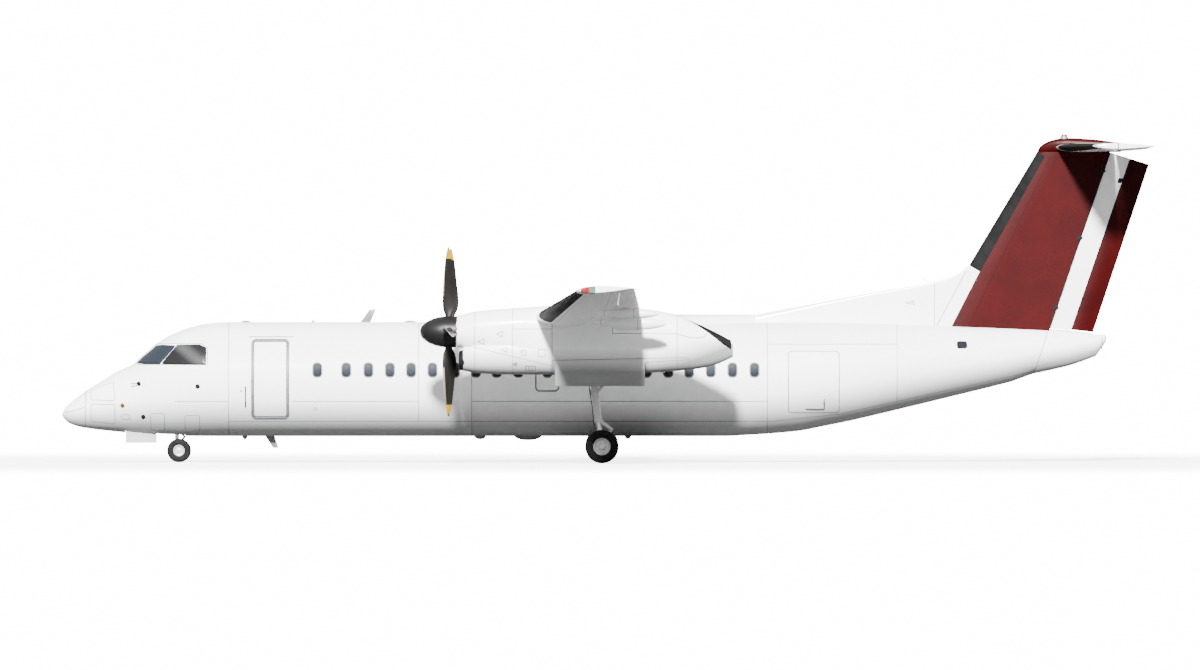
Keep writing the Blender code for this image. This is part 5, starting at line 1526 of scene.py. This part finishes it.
def wheel(name, centre, rim, width, out):
    """A wheel disc: flanges, a dished face with holes, a hub cap and bolts."""
    x, y, z = centre
    half = width / 2
    rows = [(-0.72, 0.90), (-0.66, 1.02), (-0.60, 1.02), (-0.56, 0.995), (0.56, 0.995),
            (0.60, 1.02), (0.66, 1.02), (0.72, 0.95), (0.68, 0.90), (0.45, 0.86), (0.30, 0.62),
            (0.34, 0.46), (0.70, 0.40), (0.76, 0.33), (0.78, 0.20)]
    disc = drawn(name, circle_ring(72), [(x, y + a * half * out, z, r * rim, r * rim)
                                         for a, r in rows], True, "Y")

    def pegs(turn, reach, start, length, radius, sides, edge):
        """Ten pegs round the hub. Their sizes are shares of the rim and of half the width."""
        made = []
        for k in range(10):
            a = math.tau * (k + turn) / 10
            near = Vector((x + math.cos(a) * rim * reach, y + half * start * out,
                           z + math.sin(a) * rim * reach))
            far = near + Vector((0, half * length * out, 0))
            made.append(rod("peg", near, far, rim * radius, sides=sides, edge=edge))
        return made

    cut_from(disc, joined(pegs(0, 0.73, -0.2, 0.9, 0.085, 16, 0), "holes"))
    return joined([disc, *pegs(0.5, 0.55, 0.2, 0.18, 0.05, 6, 0.002)], name)


def wheels(name, centre, radius, rim, width, spacing, axle, body):
    """Twin wheels on their turning axle."""
    x, y, z = centre
    discs = []
    for way, hand in SIDES:
        middle = (x, y + way * spacing / 2, z)
        done(tyre(f"{name}_tyre_{hand}_rubber", middle, radius, rim, width), tyre_black, body=body,
             replaces=f"{name}_tyre_{hand}", angle=50)
        discs.append(wheel("disc", middle, rim, width, way))
    shaft = spindle("axle", (x, y - spacing / 2, z), (x, y + spacing / 2, z),
                    ((0, axle), (spacing, axle)))
    done(joined([*discs, shaft], f"{name}_wheels"), hub_paint, body=body,
         replaces=f"{name}_wheel_hubs")


def crosswise(name, centre, reach, rows):
    """A turned bar that reaches as far to each side of its centre."""
    across = Vector((0, reach, 0))
    return spindle(name, Vector(centre) - across, Vector(centre) + across, rows)


def prime_inside(door, way):
    """Gives the faces that look inwards the green of the bays."""
    for face in door.data.polygons:
        if face.normal.y * way < -0.35:
            face.material_index = 1


# Tyre radii
MAIN_TYRE, NOSE_TYRE = 0.3916, 0.2776


def main_gear(side, hand):
    y = PROP_Y * side
    foot = Vector((-0.12, y, MAIN_TYRE))
    top, low = Vector((-0.40, y, 2.68)), Vector((-0.20, y, 0.95))
    length = (low - top).length
    knee = (0.11, 0.79)
    parts = [
        spindle("cylinder", top, low, (
            (0, 0.070), (0.01, 0.078), (0.16, 0.082), (0.17, 0.094), (0.23, 0.094), (0.24, 0.084),
            (1.02, 0.084), (1.03, 0.093), (1.16, 0.093), (1.17, 0.082), (length - 0.14, 0.080),
            (length - 0.13, 0.092), (length - 0.01, 0.092), (length, 0.085))),
        crosswise("trunnion", top, BAY_HALF - 0.0005, (
            (0, 0.055), (0.01, 0.062), (0.08, 0.062), (0.09, 0.070), (0.629, 0.070),
            (0.639, 0.062), (0.709, 0.062), (0.719, 0.055))),
        spindle("brace", (-0.27, y, 1.60), (0.68, y, 2.86), (
            (0, 0.050), (0.09, 0.050), (0.12, 0.036), (0.74, 0.036), (0.76, 0.046), (0.86, 0.046),
            (0.88, 0.036), (1.46, 0.036), (1.49, 0.048), (1.575, 0.048))),
        block("brace_foot", (0.60, y - 0.10, 2.82), (0.78, y + 0.10, 2.979), 0.012),
        strap("brace_lug", (-0.335, 1.66), (-0.235, 1.575), (0.07, 0.05), y, 0.035),
        strap("link_upper", (-0.20, 1.02), knee, (0.050, 0.030), y, 0.045),
        strap("link_lower", knee, (-0.13, 0.52), (0.030, 0.050), y, 0.030),
        rod("link_pin", (knee[0], y - 0.062, knee[1]), (knee[0], y + 0.062, knee[1]), 0.014,
            edge=0.003),
        crosswise("sleeve", foot, 0.085, (
            (0, 0.075), (0.006, 0.082), (0.164, 0.082), (0.17, 0.075))),
    ]
    done(joined(parts, f"main_leg_{hand}"), gear_grey,
         replaces=f"main_gear_leg_{hand}")
    done(spindle(f"main_piston_{hand}", (-0.21, y, 1.02), foot, ((0, 0.055), (0.645, 0.055))),
         chrome)
    discs = ((0, 0.090), (0.004, 0.150), (0.012, 0.156), (0.016, 0.150), (0.022, 0.156),
             (0.028, 0.150), (0.036, 0.150), (0.040, 0.100))
    packs = [spindle("pack", foot + Vector((0, 0.088 * way, 0)), foot + Vector((0, 0.128 * way, 0)),
                     discs) for way in (-1, 1)]
    done(joined(packs, f"brake_packs_{hand}"), brake_steel)
    hoses = []
    for way in (-1, 1):
        line = [(-0.47 + 0.02 * way, y + 0.03 * way, 2.55), (-0.43, y + 0.045 * way, 1.9),
                (-0.34, y + 0.05 * way, 1.25), (-0.315, y + 0.06 * way, 0.98),
                (-0.26, y + 0.09 * way, 0.75), (-0.20, y + 0.095 * way, 0.53)]
        rows = [(2.6 - point[2], *point) for point in line]
        curve = [curve_through(rows, drop) for drop in spread(rows[0][0], rows[-1][0], 30)]
        hoses.append(wire("hose", curve, 0.0095, 3))
    done(joined(hoses, f"brake_hoses_{hand}"), hose_black)
    wheels(f"main_{hand}", foot, MAIN_TYRE, rim=0.20, width=0.25, spacing=0.44, axle=0.0445,
           body=f"main_wheels_{hand}")
    for way, label in ((-side, "inner"), (side, "outer")):
        rows = ((0.400, 2.4047), (0.413, 2.34), (0.445, 2.27), (0.484, 2.20), (0.504, 2.125),
                (0.503, 2.04), (0.492, 1.92), (0.479, 1.8047))
        outline = [(y + way * a, z) for a, z in rows]
        outline += [(y + way * (a + 0.022), z) for a, z in rows[::-1]]
        door = slab(f"main_gear_door_{label}_{hand}_skin", outline, "X", BAY_FRONT - 0.01,
                    BAY_REAR, 0.006, 2)
        done(door, [cowl_white, bay_green],
             replaces=f"main_gear_door_{label}_{hand}")
        prime_inside(door, way)
        arm_line = ((0.34, 2.55), (0.395, 2.40), (0.440, 2.27), (0.492, 2.16))
        arms = [wire("arm", [(x, y + way * a, z) for a, z in arm_line], 0.014, 3)
                for x in (-1.02, -0.17, 0.70)]
        done(joined(arms, f"main_gear_door_{label}_{hand}_arms"), gear_grey)
    done(spindle(f"jack_pad_{hand}", (1.30, y, 2.30), (1.30, y, 2.116), (
        (0, 0.055), (0.150, 0.059), (0.170, 0.055), (0.184, 0.035)), 32), bare_metal)


for side, hand in SIDES:
    main_gear(side, hand)

NOSE_X = -10.13
parts = [
    spindle("cylinder", (NOSE_X, 0, 1.449), (NOSE_X, 0, 0.801), (
        (0, 0.060), (0.02, 0.070), (0.14, 0.070), (0.15, 0.080), (0.26, 0.080), (0.27, 0.070),
        (0.50, 0.070), (0.51, 0.079), (0.60, 0.079), (0.648, 0.074))),
    crosswise("trunnion", (NOSE_X, 0, 1.25), 0.2495, (
        (0, 0.040), (0.01, 0.047), (0.489, 0.047), (0.499, 0.040))),
    spindle("brace", (NOSE_X, 0, 0.92), (-10.95, 0, 1.38), (
        (0, 0.040), (0.06, 0.040), (0.08, 0.027), (0.45, 0.027), (0.47, 0.038), (0.53, 0.038),
        (0.55, 0.027), (0.87, 0.027), (0.89, 0.036), (0.94, 0.036))),
    block("brace_foot", (-11.04, -0.07, 1.34), (-10.88, 0.07, 1.4495), 0.01),
]
done(joined(parts, "nose_leg_casting"), gear_grey, replaces="nose_leg")
lamps, lenses = [], []
for y in (-0.115, 0.115):
    lamps.append(spindle("lamp", (NOSE_X - 0.07, y, 0.99), (NOSE_X - 0.155, y, 0.985), (
        (0, 0.018), (0.012, 0.040), (0.06, 0.057), (0.08, 0.060), (0.086, 0.056))))
    lamps.append(rod("lamp_arm", (NOSE_X, y * 0.174, 0.99), (NOSE_X - 0.09, y * 0.94, 0.99),
                     0.012))
    lenses.append(spindle("lens", (NOSE_X - 0.150, y, 0.985), (NOSE_X - 0.162, y, 0.984), (
        (0, 0.054), (0.006, 0.050), (0.011, 0.03))))
done(joined(lamps, "taxi_lamps"), bare_metal)
done(joined(lenses, "taxi_lamp_lenses"), lens_clear)
axle = Vector((-10.08, 0, NOSE_TYRE))
knee = (NOSE_X + 0.185, 0.60)
parts = [
    spindle("steering_collar", (NOSE_X, 0, 0.799), (NOSE_X, 0, 0.72), (
        (0, 0.078), (0.006, 0.084), (0.070, 0.084), (0.079, 0.076))),
    strap("axle_arm", (NOSE_X, 0.42), (axle.x, axle.z), (0.052, 0.055), 0, 0.040, 0.01),
    crosswise("sleeve", axle, 0.065, ((0, 0.055), (0.005, 0.061), (0.125, 0.061), (0.13, 0.055))),
    strap("tow_lug", (NOSE_X - 0.105, 0.445), (NOSE_X - 0.02, 0.45), (0.024, 0.04), 0, 0.026,
          0.006),
    strap("link_upper", (NOSE_X + 0.04, 0.755), knee, (0.034, 0.022), 0, 0.032),
    strap("link_lower", knee, (NOSE_X + 0.02, 0.43), (0.022, 0.034), 0, 0.022),
]
done(joined(parts, "nose_fork_casting"), gear_grey, body="nose_fork",
     replaces="nose_fork")
done(spindle("nose_piston", (NOSE_X, 0, 0.73), (NOSE_X, 0, 0.365), ((0, 0.048), (0.365, 0.048))),
     chrome, body="nose_fork")
wheels("nose", axle, NOSE_TYRE, rim=0.13, width=0.165, spacing=0.36, axle=0.0315,
       body="nose_wheels")
for side, hand in SIDES:
    rows = ((0.228, 0.86), (0.228, 0.66), (0.232, 0.60), (0.243, 0.52), (0.252, 0.462))
    outline = [(side * a, z) for a, z in rows]
    outline += [(side * min(a + 0.0205, 0.2497 if z > 0.63 else 1), z) for a, z in rows[::-1]]
    door = slab(f"nose_gear_door_{hand}_skin", outline, "X", -11.33, -10.62, 0.005, 2)
    done(door, [hull_white, bay_green], replaces=f"nose_gear_door_{hand}")
    prime_inside(door, side)


# Small fittings

def ring_of(x, z, radius, count=20):
    return [(x + radius * a, z + radius * b) for a, b in circle_ring(count)]


hatches = (
    [(-12.153, 1.691), (-12.132, 1.468), (-11.6, 1.453), (-11.583, 1.538), (-11.616, 1.892)],
    [(-12.141, 1.366), (-12.141, 0.973), (-11.614, 0.912), (-11.576, 0.961), (-11.576, 1.366)],
    rectangle(-10.735, -10.408, 0.77, 1.161, 0.05),
    rectangle(-9.925, -9.578, 0.749, 1.114, 0.05),
    rectangle(-11.425, -11.216, 1.013, 1.128, 0.055),
    ring_of(-6.857, 1.265, 0.032),
)
for side, hand in SIDES:
    seams = [hull_seam("seam", outline, side, radius=0.009, proud=-0.005, closed=True)
             for outline in hatches]
    seams.append(hull_seam("seam", [(-12.763, 1.164), (-12.302, 1.291)], side, radius=0.008,
                           proud=-0.004))
    done(joined(seams, f"hatch_seams_{hand}"), seal_grey)
    spots = []
    for x, z, radius in ((-10.909, 1.072, 0.042), (-9.621, 1.788, 0.044)):
        spots.append(hull_patch("vent", ring_of(x, z, radius), side, proud=0.003, thick=0.01))
        spots.append(hull_seam("ring", ring_of(x, z, radius + 0.006), side, radius=0.006,
                               proud=0.002, closed=True))
    spots.append(hull_patch("port", rectangle(8.231, 8.469, 2.686, 2.846, 0.045), side,
                            proud=0.003, thick=0.01))
    done(joined(spots, f"dark_vents_{hand}"), dark_gap)
    # Probe on the nose: a round base and a tube that points forward
    x, z = -11.013, 1.852
    base = hull_patch("base", ring_of(x, z, 0.045), side, proud=0.008, thick=0.012)
    tube = wire("tube", [(x - ahead, side * (hull_side(x, z) + out), z) for ahead, out in
                         ((0, 0), (0.01, 0.055), (0.04, 0.078), (0.19, 0.080))], 0.014, 3)
    done(joined([base, tube], f"nose_probe_{hand}"), dark_gap)

gold_film = surface("gold_film", (0.16, 0.085, 0.012), 0.3, vary=0.15, patch=20, grain=90,
                    metal=0.6)
done(hull_patch("nose_static_plate", ring_of(-11.397, 1.34, 0.048), -1, proud=0.003, thick=0.01),
     gold_film)
bar = hull_seam("bar", [(-8.495, 1.793), (-8.495, 1.293)], -1, radius=0.014, proud=0.006)
dot = hull_patch("dot", ring_of(-8.598, 1.68, 0.016), -1, proud=0.003, thick=0.006)
done(joined([bar, dot], "entry_door_handle"), dark_gap)
done(hull_seam("entry_door_gutter", [(-8.424, 2.956), (-7.376, 2.956)], -1, radius=0.012,
               proud=0.004), seal_grey)
grip = [hull_patch("grip", rectangle(*box, 0.008), -1, proud=0.004, thick=0.01)
        for box in ((4.664, 5.117, 1.243, 1.265), (5.095, 5.117, 1.267, 1.480))]
done(joined(grip, "baggage_door_grip"), seal_grey)

aerial_grey = surface("aerial_grey", (0.10, 0.102, 0.104), 0.4, vary=0.08, patch=6, grain=120)
AERIAL_HALF = 0.0118
for name, outline in (
    ("roof_aerial_front", ((-5.825, 3.27), (-5.585, 3.27), (-5.455, 3.585), (-5.465, 3.600),
                           (-5.585, 3.600), (-5.605, 3.588))),
    ("belly_aerial_front", ((-7.865, 0.339), (-7.74, 0.339), (-7.84, 0.65), (-8.07, 0.65))),
):
    done(slab(name, outline, "Y", -AERIAL_HALF, AERIAL_HALF, AERIAL_HALF * 0.8), aerial_grey)

# Domes on the roof and under the belly
domes = []
for x, z, long, wide, tall in (
    (-8.51, 3.295, 0.12, 0.05, 0.045), (-6.925, 3.295, 0.035, 0.02, 0.055),
    (-4.64, 3.295, 0.16, 0.06, 0.042), (-8.53, 0.62, 0.062, 0.03, -0.085),
    (-2.99, 0.62, 0.14, 0.06, -0.080), (-1.86, 0.62, 0.33, 0.14, -0.100),
    (0.49, 0.62, 0.075, 0.035, -0.070),
):
    rows = [(x, 0, z + tall * t, long * w, wide * w) for t, w in
            ((-0.3, 1.0), (0.1, 0.98), (0.5, 0.84), (0.8, 0.58), (0.95, 0.32), (1.0, 0.10))]
    domes.append(drawn("dome", circle_ring(40), rows, True, "Z"))
done(joined(domes, "hull_aerials"), aerial_grey)
wicks = []
for side, _ in SIDES:
    edge = wing_at(side * 13.3, 1)
    wicks.append(wire("wick", [edge - Vector((0.02, 0, 0)), edge + Vector((0.12, 0, 0))], 0.004, 2))
done(joined(wicks, "static_wicks_wing"), hose_black)


# Stage

def light_and_camera():
    world = bpy.data.worlds.new("studio")
    bpy.context.scene.world = world
    world.use_nodes = True
    tree = world.node_tree
    tree.nodes.clear()
    up = node(tree, "SeparateXYZ", {0: node(tree, "TexCoord").outputs["Generated"]}).outputs[2]
    sky = ramp(tree, up, -0.6, 0.7, 0.16, 1.1)
    soft = node(tree, "Background", {"Color": (1, 1, 1, 1), "Strength": sky})
    clear = node(tree, "Background", {"Color": (1, 1, 1, 1), "Strength": 16.0})
    seen = node(tree, "LightPath").outputs["Is Camera Ray"]
    mixed = node(tree, "MixShader", {0: seen, 1: soft.outputs[0], 2: clear.outputs[0]})
    node(tree, "OutputWorld", {0: mixed.outputs[0]})
    deselect()
    bpy.ops.object.light_add(type="SUN", location=(-2, -40, 25))
    key = bpy.context.object
    key.name = "key_light"
    key.data.energy = 22
    key.data.angle = math.radians(5)
    key.rotation_euler = Vector((0.12, 1.9, -1.0)).to_track_quat("-Z", "Y").to_euler()
    bpy.ops.mesh.primitive_circle_add(vertices=128, radius=60, fill_type="NGON")
    floor = begin("studio_floor")
    bpy.ops.mesh.inset(thickness=20)
    close(floor)
    pale = surface("studio_floor", (0.80, 0.80, 0.80), 0.7, vary=0.01, patch=0.2, grain=2,
                   relief=0.02)
    tree = pale.node_tree
    place = node(tree, "TexCoord").outputs["Object"]
    away = node(tree, "VectorMath", {0: place}, operation="LENGTH").outputs["Value"]
    shader = tree.nodes["Principled BSDF"]
    shader.inputs["Specular IOR Level"].default_value = 0.1
    seen = node(tree, "LightPath").outputs["Is Camera Ray"]
    overpaint(pale, sum_up(tree, "SUBTRACT", 1.0, seen), (0.09, 0.09, 0.09))
    shader.inputs["Emission Color"].default_value = (1, 1, 1, 1)
    tree.links.new(sum_up(tree, "MULTIPLY", seen, 4.0), shader.inputs["Emission Strength"])
    tree.links.new(ramp(tree, away, 17.0, 48.0, 1.0, 0.0), shader.inputs["Alpha"])
    floor.data.materials.append(pale)
    lens, wide = 600, 28.27
    bpy.ops.object.camera_add(location=(-0.165, -wide * lens / 36, 2.998))
    camera = bpy.context.object
    camera.name = "camera"
    camera.rotation_euler = (math.pi / 2, 0, 0)
    camera.data.lens = lens
    camera.data.sensor_width = 36
    camera.data.clip_start = 10
    camera.data.clip_end = 2000
    camera.data.dof.use_dof = False
    bpy.context.scene.camera = camera


light_and_camera()
